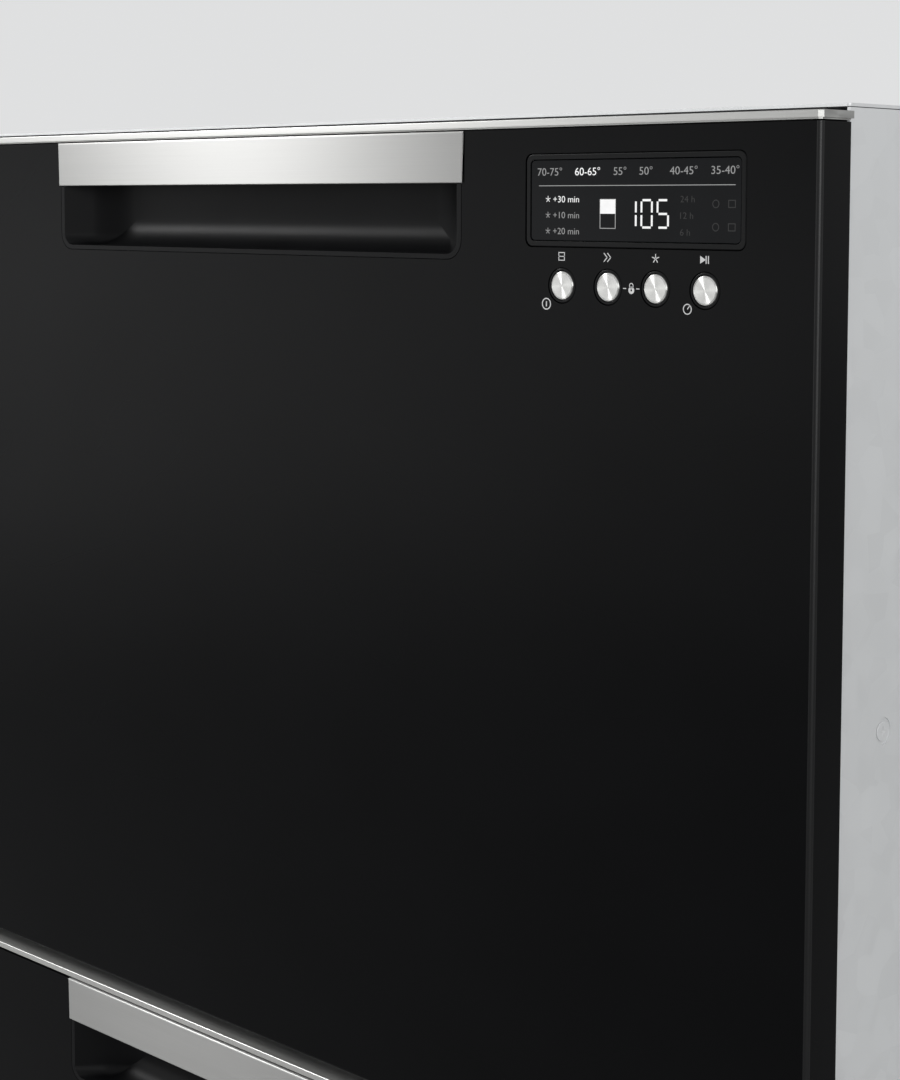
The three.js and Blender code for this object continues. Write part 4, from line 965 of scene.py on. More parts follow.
def makeTub():
    half, wall, front, back = tub["half"], tub["wall"], tub["front"], tub["back"]
    shell = roundBox("upperTub", (-half, half), (front, back), (underZ, rimZ), tub["corner"], 12)
    roundRim(shell, "Z", tub["floorRound"], 6, lambda at: at.z < underZ + 1)
    flange = flangePlan("flange", 0, (rimZ - tub["flange"], rimZ))
    skirt = flangePlan("skirt", tub["skirtInset"], (rimZ - tub["skirt"], rimZ - 3))
    cut(skirt, flangePlan("skirtInside", tub["skirtInside"], (rimZ - tub["skirt"] - 2, rimZ - 2)))
    ribs = []
    ribZ = (underZ + tub["ribFoot"], rimZ - 2)
    for y in tub["sideRibs"]:
        for side in (-1, 1):
            ribs.append(block("rib", sorted((side * (half - 1), side * (half + tub["ribProud"]))),
                              (y - 2, y + 2), ribZ))
    for x in tub["backRibs"]:
        ribs.append(block("rib", (x - 2, x + 2), (back - 1, back + tub["ribProud"]), ribZ))
    padZ = upperTop - tub["padZ"]
    high, low = (upperTop - drop for drop in tub["mountDrops"])
    for side in (-1, 1):
        pad = block("pad", sorted((side * (half - 0.5), side * tub["padReach"])),
                    (front + tub["corner"], back - tub["corner"]),
                    (padZ - tub["padHeight"] / 2, padZ + tub["padHeight"] / 2))
        ribs.append(pad)
        x = side * tub["mountX"]
        ribs.append(block("mountRib", (x - tub["mountHalf"], x + tub["mountHalf"]),
                          (tub["mountFront"], front + 1), (low, high)))
    for x in tub["floorRibs"]:
        ribs.append(block("floorRib", (x - 2, x + 2), (front + tub["floorRibEnd"], back - tub["floorRibEnd"]),
                          (underZ, underZ + 3)))
    fuse(shell, flange, skirt, *ribs)
    inside = roundBox("inside", (-half + wall, half - wall), (front + wall, back - wall), (floorZ, rimZ + 3),
                      tub["corner"] - wall, 12)
    roundRim(inside, "Z", tub["floorRound"], 7, lambda at: at.z < floorZ + 1)
    shaft = disc("shaftHole", tub["shaftHole"], "Z", (underZ - 2, floorZ + 2), (0, middleY), 32)
    cut(shell, inside, shaft)
    # Water inlet on the rear wall, with a raised ring and three slots.
    x, z = tub["inletX"], upperTop - tub["inletDrop"]
    ring = disc("inlet", tub["inlet"], "Y", (back - wall - tub["inletProud"], back - 1), (x, z), 40)
    roundRim(ring, "Y", 1.2, 3, lambda at: at.y < back - wall - 2)
    fuse(shell, ring)
    wide, tall = tub["slotHalf"]
    slots = [block("slot", (x - wide, x + wide), (back - wall - 4, back - 2), (middle - tall, middle + tall))
             for middle in (z - tub["slotPitch"], z, z + tub["slotPitch"])]
    cut(shell, *slots)
    return soften(shell, 0.5, 2, 40)


upperTub = makeTub()
print("tub made")

# Filter plate with a raised rim, pressed rings and a gripped collar over the motor shaft.
plate = {"radius": 210.0, "thickness": 1.5, "rim": 6.0, "rise": 1.5, "collar": 30.0, "collarHeight": 12.0,
         "bore": 8.0, "gaps": (18, 60, 50), "ring": 3.0, "press": 0.5, "grips": 16, "grip": 2.2}


def makeFilter():
    z = floorZ + 0.3
    body = disc("upperFilter", plate["radius"], "Z", (z, z + plate["thickness"]), (0, middleY), 96)
    choose(body, "FACE", lambda at, way: way.z > 0.9)
    bpy.ops.mesh.inset(thickness=plate["rim"] * mm, depth=0)
    for gap in plate["gaps"]:
        bpy.ops.mesh.inset(thickness=gap * mm, depth=0)
        bpy.ops.mesh.inset(thickness=plate["ring"] * mm, depth=plate["press"] * mm)
    objectMode()
    choose(body, "VERT", lambda at: at.z > z + 0.5 and math.hypot(at.x, at.y - middleY) > plate["radius"] - 1)
    bpy.ops.transform.translate(value=(0, 0, plate["rise"] * mm))
    objectMode()
    collar = disc("collar", plate["collar"], "Z", (z, z + plate["collarHeight"]), (0, middleY), 64)
    roundRim(collar, "Z", 1.2, 3, lambda at: at.z > z + 5)
    fuse(body, collar)
    grips = []
    for i in range(plate["grips"]):
        angle = math.tau * i / plate["grips"]
        at = (plate["collar"] * math.cos(angle), middleY + plate["collar"] * math.sin(angle))
        grips.append(disc("grip", plate["grip"], "Z", (z + 2.5, z + plate["collarHeight"] + 1), at, 12))
    cut(body, *grips, disc("bore", plate["bore"], "Z", (z - 2, z + 20), (0, middleY), 32))
    return smooth(body, 30)


# Spray arm: two tapering arms with nozzles on a domed hub.
arm = {"half": 220.0, "waist": 23.0, "tip": 13.0, "bottom": 266.8, "lift": 3.0, "thickness": 10.0,
       "hub": 28.0, "hubHeight": 18.0, "bore": 6.4, "skin": 3.0, "round": 3.2, "hubRound": 5.0,
       "nozzles": (48, 82, 116, 150, 184, 204), "nozzle": 4.2, "proud": 1.3, "jet": 1.5, "shift": 7.0,
       "taper": 420.0}


def makeArm():
    low = upperTop - arm["bottom"]
    z0, z1 = low + arm["lift"], low + arm["lift"] + arm["thickness"]
    body = block("upperSprayArm", (-arm["half"], arm["half"]),
                 (middleY - arm["waist"], middleY + arm["waist"]), (z0, z1))
    onlySelect(body)
    bpy.ops.object.mode_set(mode="EDIT")
    bpy.ops.mesh.select_all(action="SELECT")
    bpy.ops.mesh.bisect(plane_co=(0, 0, 0), plane_no=(1, 0, 0))
    objectMode()
    choose(body, "VERT", lambda at: abs(at.x) > arm["half"] - 1)
    bpy.ops.transform.resize(value=(1, arm["tip"] / arm["waist"], 1), center_override=(0, middleY * mm, 0))
    objectMode()
    roundAlong(body, "Z", arm["tip"] - 1, 8, lambda at: abs(at.x) > arm["half"] - 2)
    # All round, but not along the line across the middle.
    bevelEdges(body, lambda at, way: abs(way.z) < 0.1 and not (abs(at.x) < 2 and abs(way.y) > 0.9),
               arm["round"], 4)
    hub = disc("hub", arm["hub"], "Z", (low, low + arm["hubHeight"]), (0, middleY), 56)
    roundRim(hub, "Z", arm["hubRound"], 5, lambda at: at.z > low + 10)
    fuse(body, hub)
    # Nozzles lie to either side of the arm's middle line in turn, nearer to it towards the tip.
    places = [(side * x, middleY + side * (arm["shift"] if i % 2 else -arm["shift"]) * (1 - x / arm["taper"]))
              for i, x in enumerate(arm["nozzles"]) for side in (-1, 1)]
    nozzles = [disc("nozzle", arm["nozzle"], "Z", (z1 - 2, z1 + arm["proud"]), at, 20) for at in places]
    for nozzle in nozzles:
        roundRim(nozzle, "Z", 0.8, 2, lambda at: at.z > z1 + 1)
    fuse(body, *nozzles)
    jets = [disc("jet", arm["jet"], "Z", (z1 - 1.5, z1 + 3), at, 12) for at in places]
    bore = disc("bore", arm["bore"], "Z", (low - 2, low + arm["hubHeight"] - arm["skin"]), (0, middleY), 32)
    cut(body, *jets, bore)
    return soften(body, 0.3, 2, 45)


# Motor under the tub: flange, ribbed can and shaft.
motor = {"radius": 75.0, "can": 52.5, "top": 283.2, "height": 48.0, "flange": 8.0, "shaft": 6.0,
         "shaftTop": 253.9, "canRound": 5.0, "flangeRound": 2.5, "fins": 12, "finReach": 9.0, "finHalf": 1.2,
         "socketHalf": 14.0, "socketReach": 12.0, "socketRise": (12, 28)}


def makeMotor():
    z = upperTop - motor["top"]
    low = z - motor["height"]
    body = disc("upperMotor", motor["can"], "Z", (low, z - 1), (0, middleY), 64)
    roundRim(body, "Z", motor["canRound"], 4, lambda at: at.z < low + 1)
    flange = disc("flange", motor["radius"], "Z", (z - motor["flange"], z), (0, middleY), 64)
    roundRim(flange, "Z", motor["flangeRound"], 3, lambda at: at.z < z - 1)
    fins = []
    for i in range(motor["fins"]):
        fin = block("fin", (-motor["finHalf"], motor["finHalf"]),
                    (motor["can"] - 3, motor["can"] + motor["finReach"]), (low + 9, z - 4))
        fin.data.transform(Matrix.Rotation(math.tau * i / motor["fins"], 4, "Z"))
        fin.data.transform(Matrix.Translation(Vector((0, middleY, 0)) * mm))
        fins.append(fin)
    shaft = disc("shaft", motor["shaft"], "Z", (z - 2, upperTop - motor["shaftTop"]), (0, middleY), 32)
    roundRim(shaft, "Z", 1, 2, lambda at: at.z > z + 5)
    side = middleY - motor["can"]
    socket = block("socket", (-motor["socketHalf"], motor["socketHalf"]),
                   (side - motor["socketReach"], side + 4), [low + rise for rise in motor["socketRise"]])
    fuse(body, flange, *fins, shaft, socket)
    return soften(body, 0.4, 2, 45)


# Rack of coated round wire.
rack = {"half": 250.0, "front": -195.0, "back": 215.0, "base": 241.9, "height": 150.0, "rim": 5.0,
        "wire": 4.0, "tine": 3.0, "tineHeight": 78.0, "tinePitch": 40.0, "inset": 30.0, "corner": 14.0,
        "sink": 0.8, "middleRise": 72.0, "middleWire": 3.6, "middleInset": 0.6, "lengthwise": 7, "across": 4,
        "tineRows": (0, 2, 4), "tinesInRow": 6, "tineRound": 1.1, "shoe": 1.3, "shoeHeight": 9.0}


# A closed ring of round wire: a flat outline with round corners, given its gauge as a curve.
def ringWire(name, half, y0, y1, z, corner, gauge):
    selectNone()
    g = gauge / 2
    bpy.ops.mesh.primitive_plane_add(size=1, location=(0, (y0 + y1) / 2 * mm, z * mm))
    ring = bpy.context.object
    ring.scale = (2 * (half - g) * mm, (y1 - y0 - gauge) * mm, 1)
    ring.name = name
    settle(ring)
    bpy.ops.object.mode_set(mode="EDIT")
    bpy.ops.mesh.select_all(action="SELECT")
    bpy.ops.mesh.delete(type="ONLY_FACE")
    bpy.ops.mesh.select_all(action="SELECT")
    bpy.ops.mesh.bevel(offset=corner * mm, segments=6, affect="VERTICES")
    objectMode()
    bpy.ops.object.convert(target="CURVE")
    ring = bpy.context.object
    ring.data.bevel_depth = g * mm
    ring.data.bevel_resolution = 2
    ring.data.use_fill_caps = True
    bpy.ops.object.convert(target="MESH")
    return bpy.context.object


def evenly(low, high, count):
    return [low + (high - low) * i / (count - 1) for i in range(count)]


def makeRack():
    base = upperTop - rack["base"]
    top = base + rack["height"]
    g = rack["rim"] / 2
    half, y0, y1 = rack["half"] - g, rack["front"] + g, rack["back"] - g
    r = rack["wire"] / 2
    wires = [
        ringWire(name, rack["half"] - inset, rack["front"] + inset, rack["back"] - inset, z,
                 rack["corner"], gauge)
        for name, inset, z, gauge in (
            ("upperRack", 0, top, rack["rim"]),
            ("ring", 0, base, rack["rim"]),
            ("ring", rack["middleInset"], base + rack["middleRise"], rack["middleWire"]),
        )
    ]
    lengthwise = evenly(-half + rack["inset"], half - rack["inset"], rack["lengthwise"])
    for x in lengthwise:
        wires.append(disc("wire", r, "Y", (y0, y1), (x, base), 10))
        for y in (y0, y1):
            wires.append(disc("wire", r, "Z", (base, top), (x, y), 10))
    for y in evenly(y0 + rack["inset"], y1 - rack["inset"], rack["across"]):
        low = base - rack["wire"] + rack["sink"]
        wires.append(disc("wire", r, "X", (-half, half), (y, low), 10))
        for x in (-half, half):
            wires.append(disc("wire", r, "Z", (low, top), (x, y), 10))
    tine = disc("tine", rack["tine"] / 2, "Z", (base, base + rack["tineHeight"]), (0, 0), 10)
    roundRim(tine, "Z", rack["tineRound"], 3, lambda at: at.z > base + 70)
    firstY = (y0 + y1) / 2 - (rack["tinesInRow"] - 1) / 2 * rack["tinePitch"]
    for i in rack["tineRows"]:
        for k in range(rack["tinesInRow"]):
            wires.append(duplicate(tine, "tine", (lengthwise[i], firstY + k * rack["tinePitch"], 0)))
    bpy.data.objects.remove(tine)
    for x in (-half + 2, half - 2):
        for y in (y0 + 2, y1 - 2):
            wires.append(disc("leg", g, "Z", (floorZ + 1.5, top - 2), (x, y), 12))
            shoe = disc("shoe", g + rack["shoe"], "Z", (floorZ + 0.6, floorZ + rack["shoeHeight"]),
                        (x, y), 14)
            wires.append(roundRim(shoe, "Z", 1.2, 3))
    return smooth(group(*wires), 50)


upperFilter = makeFilter()
upperArm = makeArm()
upperMotor = makeMotor()
upperRack = makeRack()
print("wash parts and rack made")

# Cutlery basket: three cells with three rows of slots, a beaded rim and a beaded foot.
basket = {"right": 226.0, "width": 72.0, "back": 180.0, "length": 220.0, "height": 120.0, "wall": 2.0,
          "corner": 8.0, "bottom": 239.1, "cells": 3, "bead": 0.8, "beadHeight": 5.0, "footHeight": 4.0,
          "slotRows": ((14, 36), (42, 64), (70, 92)), "slotHalf": 4.5, "slotPitch": 18.0,
          "drainHalf": (3.0, 7.0), "drainX": (-22, -11, 0, 11, 22), "drainY": (-20, 0, 20)}


def makeBasket():
    x1, x0 = basket["right"], basket["right"] - basket["width"]
    y1, y0 = basket["back"], basket["back"] - basket["length"]
    z0 = upperTop - basket["bottom"]
    z1 = z0 + basket["height"]
    w = basket["wall"]
    proud = basket["bead"]
    body = roundBox("cutleryBasket", (x0 + proud, x1 - proud), (y0 + proud, y1 - proud), (z0, z1),
                    basket["corner"], 6)
    bead = roundBox("bead", (x0, x1), (y0, y1), (z1 - basket["beadHeight"], z1), basket["corner"] + proud, 6)
    foot = roundBox("footBead", (x0, x1), (y0, y1), (z0, z0 + basket["footHeight"]),
                    basket["corner"] + proud, 6)
    fuse(body, bead, foot)
    bay = (basket["length"] - w) / basket["cells"]
    pitch, reach = basket["slotPitch"], basket["slotHalf"]
    wide, long = basket["drainHalf"]
    cells = []
    slots = []
    for i in range(basket["cells"]):
        a = y0 + w + i * bay
        cells.append(roundBox("cell", (x0 + w, x1 - w), (a, a + bay - w), (z0 + w, z1 + 4),
                              basket["corner"] - w, 6))
        middle = a + (bay - w) / 2
        for y in (middle - pitch, middle, middle + pitch):
            for low, high in basket["slotRows"]:
                slot = block("slot", (x0 - 2, x1 + 2), (y - reach, y + reach), (z0 + low, z0 + high))
                slots.append(roundAlong(slot, "X", 3, 3))
        for drainX in basket["drainX"]:
            for drainY in basket["drainY"]:
                x, y = (x0 + x1) / 2 + drainX, middle + drainY
                slots.append(block("drain", (x - wide, x + wide), (y - long, y + long), (z0 - 2, z0 + w + 2)))
    for x in (x0 + pitch, x0 + 2 * pitch, x0 + 3 * pitch):
        for low, high in basket["slotRows"]:
            slot = block("slot", (x - reach, x + reach), (y0 - 2, y0 + w + 1.5), (z0 + low, z0 + high))
            slots.append(roundAlong(slot, "Y", 3, 3))
    cut(body, *cells)
    cut(body, group(*slots))
    return soften(body, 0.3, 2, 45)


cutleryBasket = makeBasket()
place(cutleryBasket, "upper_drawer", "grey_plastic", greyPlastic, "upper_cutlery_basket")

# Detergent cup with a hinged flap and the rinse cap.
cup = {"left": 65.0, "right": 195.0, "top": 52.9, "height": 74.0, "back": -258.7, "face": -236.7, "wall": 2.5,
       "corner": 6.0, "round": 1.6, "gap": 0.3, "flapLeft": 67.0, "flapRight": 133.0, "flapTop": 66.9,
       "hinge": 104.9, "hingeY": -236.2, "hingeRoom": 2.8, "flap": 2.5, "barrel": 2.5, "pin": 1.0,
       "bore": 1.35, "lug": 2.4, "capX": 168.0, "capDrop": 89.9, "capRadius": 17.0, "capProud": 4.0,
       "capRound": 1.4, "capHollow": 13.0, "gripHalf": (2.2, 15.0), "grooves": (5, 8, 11), "thumb": 7.0}


def makeCup():
    z1 = upperTop - cup["top"]
    z0 = z1 - cup["height"]
    face, back, hinge = cup["face"], cup["back"], upperTop - cup["hinge"]
    flapTop = upperTop - cup["flapTop"]
    body = block("upperCup", (cup["left"], cup["right"]), (back, face), (z0, z1))
    roundAlong(body, "Y", cup["corner"], 5)
    roundRim(body, "Y", cup["round"], 3, lambda at: at.y > face - 1)
    x0, x1, gap, room = cup["flapLeft"], cup["flapRight"], cup["gap"], cup["hingeRoom"]
    pocket = block("pocket", (x0 + cup["wall"], x1 - cup["wall"]), (back + 2.5, face + 1),
                   (hinge + 5, flapTop - 2.5))
    roundAlong(pocket, "Y", 5, 4)
    flapRoom = block("flapRoom", (x0 - gap, x1 + gap), (face - 2.8, face + 1), (hinge - room, flapTop + gap))
    barrelRoom = block("barrelRoom", (x0 - gap, x1 + gap), (cup["hingeY"] - room, face + 1),
                       (hinge - room, hinge + room))
    cut(body, pocket, flapRoom, barrelRoom)
    lugs = []
    for x in (x0 - gap - cup["lug"], x1 + gap):
        lug = block("lug", (x, x + cup["lug"]), (face - 1, cup["hingeY"] + room), (hinge - 3, hinge + 3))
        lugs.append(roundAlong(lug, "X", 2.2, 4, lambda at: at.y > face))
    pin = disc("pin", cup["pin"], "X", (x0 - 1.7, x1 + 1.3), (cup["hingeY"], hinge), 14)
    capX, capZ = cup["capX"], upperTop - cup["capDrop"]
    rinse = disc("rinseCap", cup["capRadius"], "Y", (face - 1, face + cup["capProud"]), (capX, capZ), 48)
    roundRim(rinse, "Y", cup["capRound"], 3, lambda at: at.y > face + 3)
    fuse(body, *lugs, pin, rinse)
    hollow = disc("capHollow", cup["capHollow"], "Y", (face + 1.6, face + 6), (capX, capZ), 40)
    wide, tall = cup["gripHalf"]
    grip = block("capGrip", (capX - wide, capX + wide), (face + 1, face + 7), (capZ - tall, capZ + tall))
    cut(hollow, grip)
    cut(body, hollow)
    return soften(body, 0.25, 2, 45)


def makeFlap():
    hinge = upperTop - cup["hinge"]
    top = upperTop - cup["flapTop"]
    face = cup["face"]
    x0, x1 = cup["flapLeft"], cup["flapRight"]
    body = block("upperFlap", (x0, x1), (face - cup["flap"], face), (hinge, top))
    roundAlong(body, "Y", 2.5, 3, lambda at: at.z > top - 1)
    barrel = disc("barrel", cup["barrel"], "X", (x0, x1), (cup["hingeY"], hinge), 24)
    fuse(body, barrel)
    grooves = [block("groove", (x0 + 12, x1 - 12), (face - 0.5, face + 1), (z - 0.6, z + 0.6))
               for z in (top - drop for drop in cup["grooves"])]
    dish = disc("thumb", cup["thumb"], "Y", (face - 0.9, face + 1), ((x0 + x1) / 2, hinge + 14), 32)
    cut(body, *grooves, dish, disc("bore", cup["bore"], "X", (x0 - 1, x1 + 1), (cup["hingeY"], hinge), 16))
    return soften(body, 0.2, 2, 45)


upperCup = makeCup()
upperFlap = makeFlap()

# Lid with a raised middle, ribs and guide bosses, and its round seal.
lid = {"top": 5.3, "thickness": 14.0, "step": 4.0, "inset": 26.0, "skin": 3.0, "seal": 5.0, "sealWidth": 7.0,
       "postX": 218.0, "postY": (-203.4, 183.0), "bore": 4.4, "boreDepth": 8.3, "boss": 6.9,
       "crownRound": 3.0, "edgeRound": 2.5, "ribsX": (-140, -70, 0, 70, 140), "ribsY": (-140, -60, 20, 100),
       "grooves": (-150, -90, -30, 30, 90, 150), "grooveEnd": 45.0, "sealGap": 0.3, "sealRound": 2.2}
postPlaces = [(x, y) for x in (-lid["postX"], lid["postX"]) for y in lid["postY"]]


def makeLid():
    top = upperTop - lid["top"]
    low = top - lid["thickness"]
    half, y0, y1 = tub["flangeHalf"], tub["flangeFront"], tub["flangeBack"]
    step = top - lid["step"]
    body = flangePlan("upperLid", 0, (low, step))
    crown = flangePlan("crown", lid["inset"], (low + 1, top), 8)
    roundRim(crown, "Z", lid["crownRound"], 4, lambda at: at.z > top - 1)
    roundRim(body, "Z", lid["edgeRound"], 4, lambda at: at.z > low + 1)
    fuse(body, crown)
    cut(body,
        flangePlan("hollow", 1 + lid["sealWidth"] + lid["skin"], (low - 2, step - lid["skin"]), 10),
        flangePlan("hollow", lid["inset"] + lid["skin"], (low - 2, top - lid["skin"]), 8))
    ribs = [block("rib", (x - 1.2, x + 1.2), (y0 + 12, y1 - 12), (low + 2, top - 2)) for x in lid["ribsX"]]
    ribs += [block("rib", (-half + 12, half - 12), (y - 1.2, y + 1.2), (low + 2, top - 8))
             for y in lid["ribsY"]]
    bosses = [disc("boss", lid["boss"], "Z", (top - 10.8, top - 1.5), at, 24) for at in postPlaces]
    fuse(body, *ribs, *bosses)
    bores = [disc("bore", lid["bore"], "Z", (top - lid["boreDepth"], top + 2), at, 24) for at in postPlaces]
    grooves = [block("groove", (-half + lid["grooveEnd"], half - lid["grooveEnd"]), (y - 3, y + 3),
                     (top - 0.8, top + 1)) for y in lid["grooves"]]
    for groove in grooves:
        roundAlong(groove, "Z", 2.9, 4)
    cut(body, *bores, *grooves)
    return soften(body, 0.35, 2, 45)


def makeSeal():
    top = upperTop - lid["top"] - lid["thickness"] - lid["sealGap"]
    ring = flangePlan("upperSeal", 1, (top - lid["seal"], top))
    cut(ring, flangePlan("sealInside", 1 + lid["sealWidth"], (top - 9, top + 3)))
    roundRim(ring, "Z", lid["sealRound"], 4, lambda at: at.z < top - 4)
    return smooth(ring, 35)


upperLid = makeLid()
upperSeal = makeSeal()

innerPieces = (
    (upperTub, "drawer", "tub_plastic", tubPlastic, "tub"),
    (upperFilter, "drawer", "filter_steel", filterMesh, "filter_plate"),
    (upperArm, "sprayer", "grey_plastic", greyPlastic, "spray_arm"),
    (upperMotor, "drawer", "grey_plastic", motorGrey, "wash_motor"),
    (upperRack, "drawer", "rack_coating", rackCoat, "dish_rack"),
    (upperCup, "drawer", "grey_plastic", greyPlastic, "detergent_cup"),
    (upperFlap, "flap", "lid_plastic", lidPlastic, "detergent_flap"),
    (upperLid, "lid_unit", "lid_plastic", lidPlastic, "lid"),
    (upperSeal, "lid_unit", "rubber_seal", sealRubber, "lid_seal"),
)
for inner in innerPieces:
    placePair(*inner)
print("drawer insides made")


# Cabinet: sheets with pressed panels, folded edges and screws.
sheet = 1.2
cabinet = {
    "half": 296.0, "innerHalf": 294.5, "front": -264.0, "back": 286.5, "sideBack": 285.0, "rear": 285.3,
    "base": 24.0, "roof": 818.8, "sideTop": 818.5, "top": 820.0, "toe": 66.0, "toeY": -230.0, "flange": 14.0,
    "shelf": 409.1, "brace": 24.0, "pan": (-228.2, 283.5), "panHeight": 20.0,
}


# Pan-head screw lying in a shallow dimple, along one axis; the face looks up that axis.
def screwHead(axis, face, at):
    head = disc("screw", 3.6, axis, (face - 0.4, face - 0.05), at, 20)
    i = "XYZ".index(axis)
    roundRim(head, axis, 0.15, 2, lambda at: at[i] > face - 0.1)
    for wide, tall in ((1.9, 0.4), (0.4, 1.9)):
        spans = [(at[0] - wide, at[0] + wide), (at[1] - tall, at[1] + tall)]
        spans.insert(i, (face - 0.25, face + 1))
        cut(head, block("cross", *spans))
    return head


# Presses fields inwards through a sheet and adds its screws, both given in the sheet's own two axes.
def pressSheet(plate, axis, face, fields, screws, corner=16.0, depth=2.4):
    i = "XYZ".index(axis)
    pans, pockets = [], []
    for field in fields:
        for grow, span, pieces in ((sheet, (face - depth - sheet, face - sheet / 2), pans),
                                   (0, (face - depth, face + 1), pockets)):
            spans = [(a - grow, b + grow) for a, b in field]
            spans.insert(i, span)
            pan = roundAlong(block("pan", *spans), axis, corner + grow, 7)
            roundRim(pan, axis, 1.6, 3, lambda at: at[i] < span[0] + 0.1)
            pieces.append(pan)
    fuse(plate, group(*pans))
    pockets += [disc("dimple", 5.2, axis, (face - 0.5, face + 1), at, 28) for at in screws]
    cut(plate, group(*pockets))
    return [screwHead(axis, face, at) for at in screws]


# Pressed fields, and screws in rows, on the sheet's own two axes: (y, z), (x, y) or (x, z).
sidePress = {"along": (-214, 256), "fields": ((76, 146), (226, 392), (436, 552), (636, 788)),
             "edgeScrews": ((-200, 0, 200), (34, 409.7, 805)),
             "runnerScrews": ((-236, -20, 200), (184.4, 594.1))}
topPress = {"fieldsX": ((-258, -96), (-80, 80), (96, 258)), "fieldsY": ((-222, 4), (22, 248)),
            "sideScrews": ((-280, 280), (-232, -80, 80, 232)), "rearScrews": ((-180, 0, 180), 269),
            "depth": 1.6}
backPress = {"across": (-258, 258), "fields": ((204, 396), (426, 600), (618, 690)),
             "besideOutlet": ((-92, 258), (56, 186)),
             "sideScrews": ((-280, 280), (60, 220, 410, 600, 790)), "topScrews": ((-180, 0, 180), 806)}


def makeSide():
    half, front, back = cabinet["half"], cabinet["front"], cabinet["sideBack"]
    low, high = cabinet["base"], cabinet["sideTop"]
    web = block("sidePanelRight", (half - sheet, half), (front, back), (low, high))
    rear = block("rearFlange", (half - cabinet["flange"], half - sheet / 2), (back - sheet, back),
                 (low, high))
    toe = block("toe", (half - 20, half + 5), (front - 5, cabinet["toeY"]), (low - 5, cabinet["toe"]))
    fuse(web, rear)
    cut(web, toe)
    fields = [(sidePress["along"], z) for z in sidePress["fields"]]
    screws = [(y, z) for across, up in (sidePress["edgeScrews"], sidePress["runnerScrews"])
              for z in up for y in across]
    heads = pressSheet(web, "X", half, fields, screws)
    soften(web, 0.2, 2, 30)
    return smooth(group(web, *heads), 35)


sideRight = makeSide()
sideLeft = mirrored(sideRight, "sidePanelLeft")
place(sideRight, "cabinet", "galvanised_steel", galvanised, "side_panel_right")
place(sideLeft, "cabinet", "galvanised_steel", galvanised, "side_panel_left")
print("side panels made")


def guidePosts(name, bottom, root):
    posts = [disc(name, 4, "Z", (bottom, root), at, 28) for at in postPlaces]
    for post in posts:
        roundRim(post, "Z", 1.2, 3, lambda at: at.z < bottom + 1)
    return posts


def makeTop():
    half, front, back = cabinet["half"], cabinet["front"], cabinet["back"]
    low, high = cabinet["roof"], cabinet["top"]
    plate = block("topPanel", (-half, half), (front, back), (low, high))
    roundAlong(plate, "Z", 1.5, 3)
    fields = [(x, y) for x in topPress["fieldsX"] for y in topPress["fieldsY"]]
    (sideX, sideY), (rearX, rearY) = topPress["sideScrews"], topPress["rearScrews"]
    screws = [(x, y) for x in sideX for y in sideY] + [(x, rearY) for x in rearX]
    heads = pressSheet(plate, "Z", high, fields, screws, depth=topPress["depth"])
    fuse(plate, *guidePosts("post", upperTop - lid["top"] - 8, low + 0.5))
    soften(plate, 0.2, 2, 30)
    return smooth(group(plate, *heads), 35)


topPanel = makeTop()
place(topPanel, "cabinet", "galvanised_steel", galvanised, "top_panel")

grommet = {"x": -190.0, "z": 120.0, "width": 120.0, "height": 56.0, "lip": 6.0, "wall": 4.0}


def slotRing(name, grow, y):
    halfW, halfH = grommet["width"] / 2 + grow, grommet["height"] / 2 + grow
    ring = block(name, (grommet["x"] - halfW, grommet["x"] + halfW), y,
                 (grommet["z"] - halfH, grommet["z"] + halfH))
    return roundAlong(ring, "Y", halfH - 1, 10)


# Grids of vent slots: the middle of the first, the pitches and counts across and down, and half a slot.
vents = {
    "back": {"first": (-143, 768), "pitch": (26, -14), "count": (12, 4), "half": (10, 2),
             "round": 1.9, "steps": 3},
    "toe": {"first": (-216, 27), "pitch": (24, 14), "count": (19, 2), "half": (8, 3),
            "round": 2.8, "steps": 4},
}


def ventSlots(grid, y):
    slots = []
    for row in range(grid["count"][1]):
        for i in range(grid["count"][0]):
            x, z = grid["first"][0] + i * grid["pitch"][0], grid["first"][1] + row * grid["pitch"][1]
            wide, tall = grid["half"]
            slot = block("vent", (x - wide, x + wide), y, (z - tall, z + tall))
            slots.append(roundAlong(slot, "Y", grid["round"], grid["steps"]))
    return slots


def makeBack():
    half = cabinet["half"]
    y0, y1 = cabinet["rear"], cabinet["back"]
    low, high = cabinet["base"], cabinet["sideTop"]
    plate = block("backPanel", (-half, half), (y0, y1), (low, high))
    fields = [(backPress["across"], z) for z in backPress["fields"]] + [backPress["besideOutlet"]]
    (sideX, sideZ), (topX, topZ) = backPress["sideScrews"], backPress["topScrews"]
    screws = [(x, z) for x in sideX for z in sideZ] + [(x, topZ) for x in topX]
    heads = pressSheet(plate, "Y", y1, fields, screws)
    slots = ventSlots(vents["back"], (y0 - 2, y1 + 2))
    cut(plate, slotRing("hole", 0, (y0 - 2, y1 + 2)), group(*slots))
    soften(plate, 0.2, 2, 30)
    return smooth(group(plate, *heads), 35)


backPanel = makeBack()
place(backPanel, "cabinet", "galvanised_steel", galvanised, "back_panel")


def makeGrommet():
    back = cabinet["back"]
    inner = cabinet["rear"] - 0.3
    bush = slotRing("hoseGrommet", -0.3, (inner - 0.5, back))
    lip = slotRing("lip", grommet["lip"], (inner - grommet["wall"], inner))
    roundRim(lip, "Y", 1.5, 3, lambda at: at.y < inner - 1)
    fuse(bush, lip)
    cut(bush, slotRing("inside", -grommet["wall"], (inner - 8, back + 4)))
    return soften(bush, 0.35, 3, 40)


hoseGrommet = makeGrommet()
place(hoseGrommet, "cabinet", "rubber_seal", sealRubber, "hose_grommet")
print("top and back made")

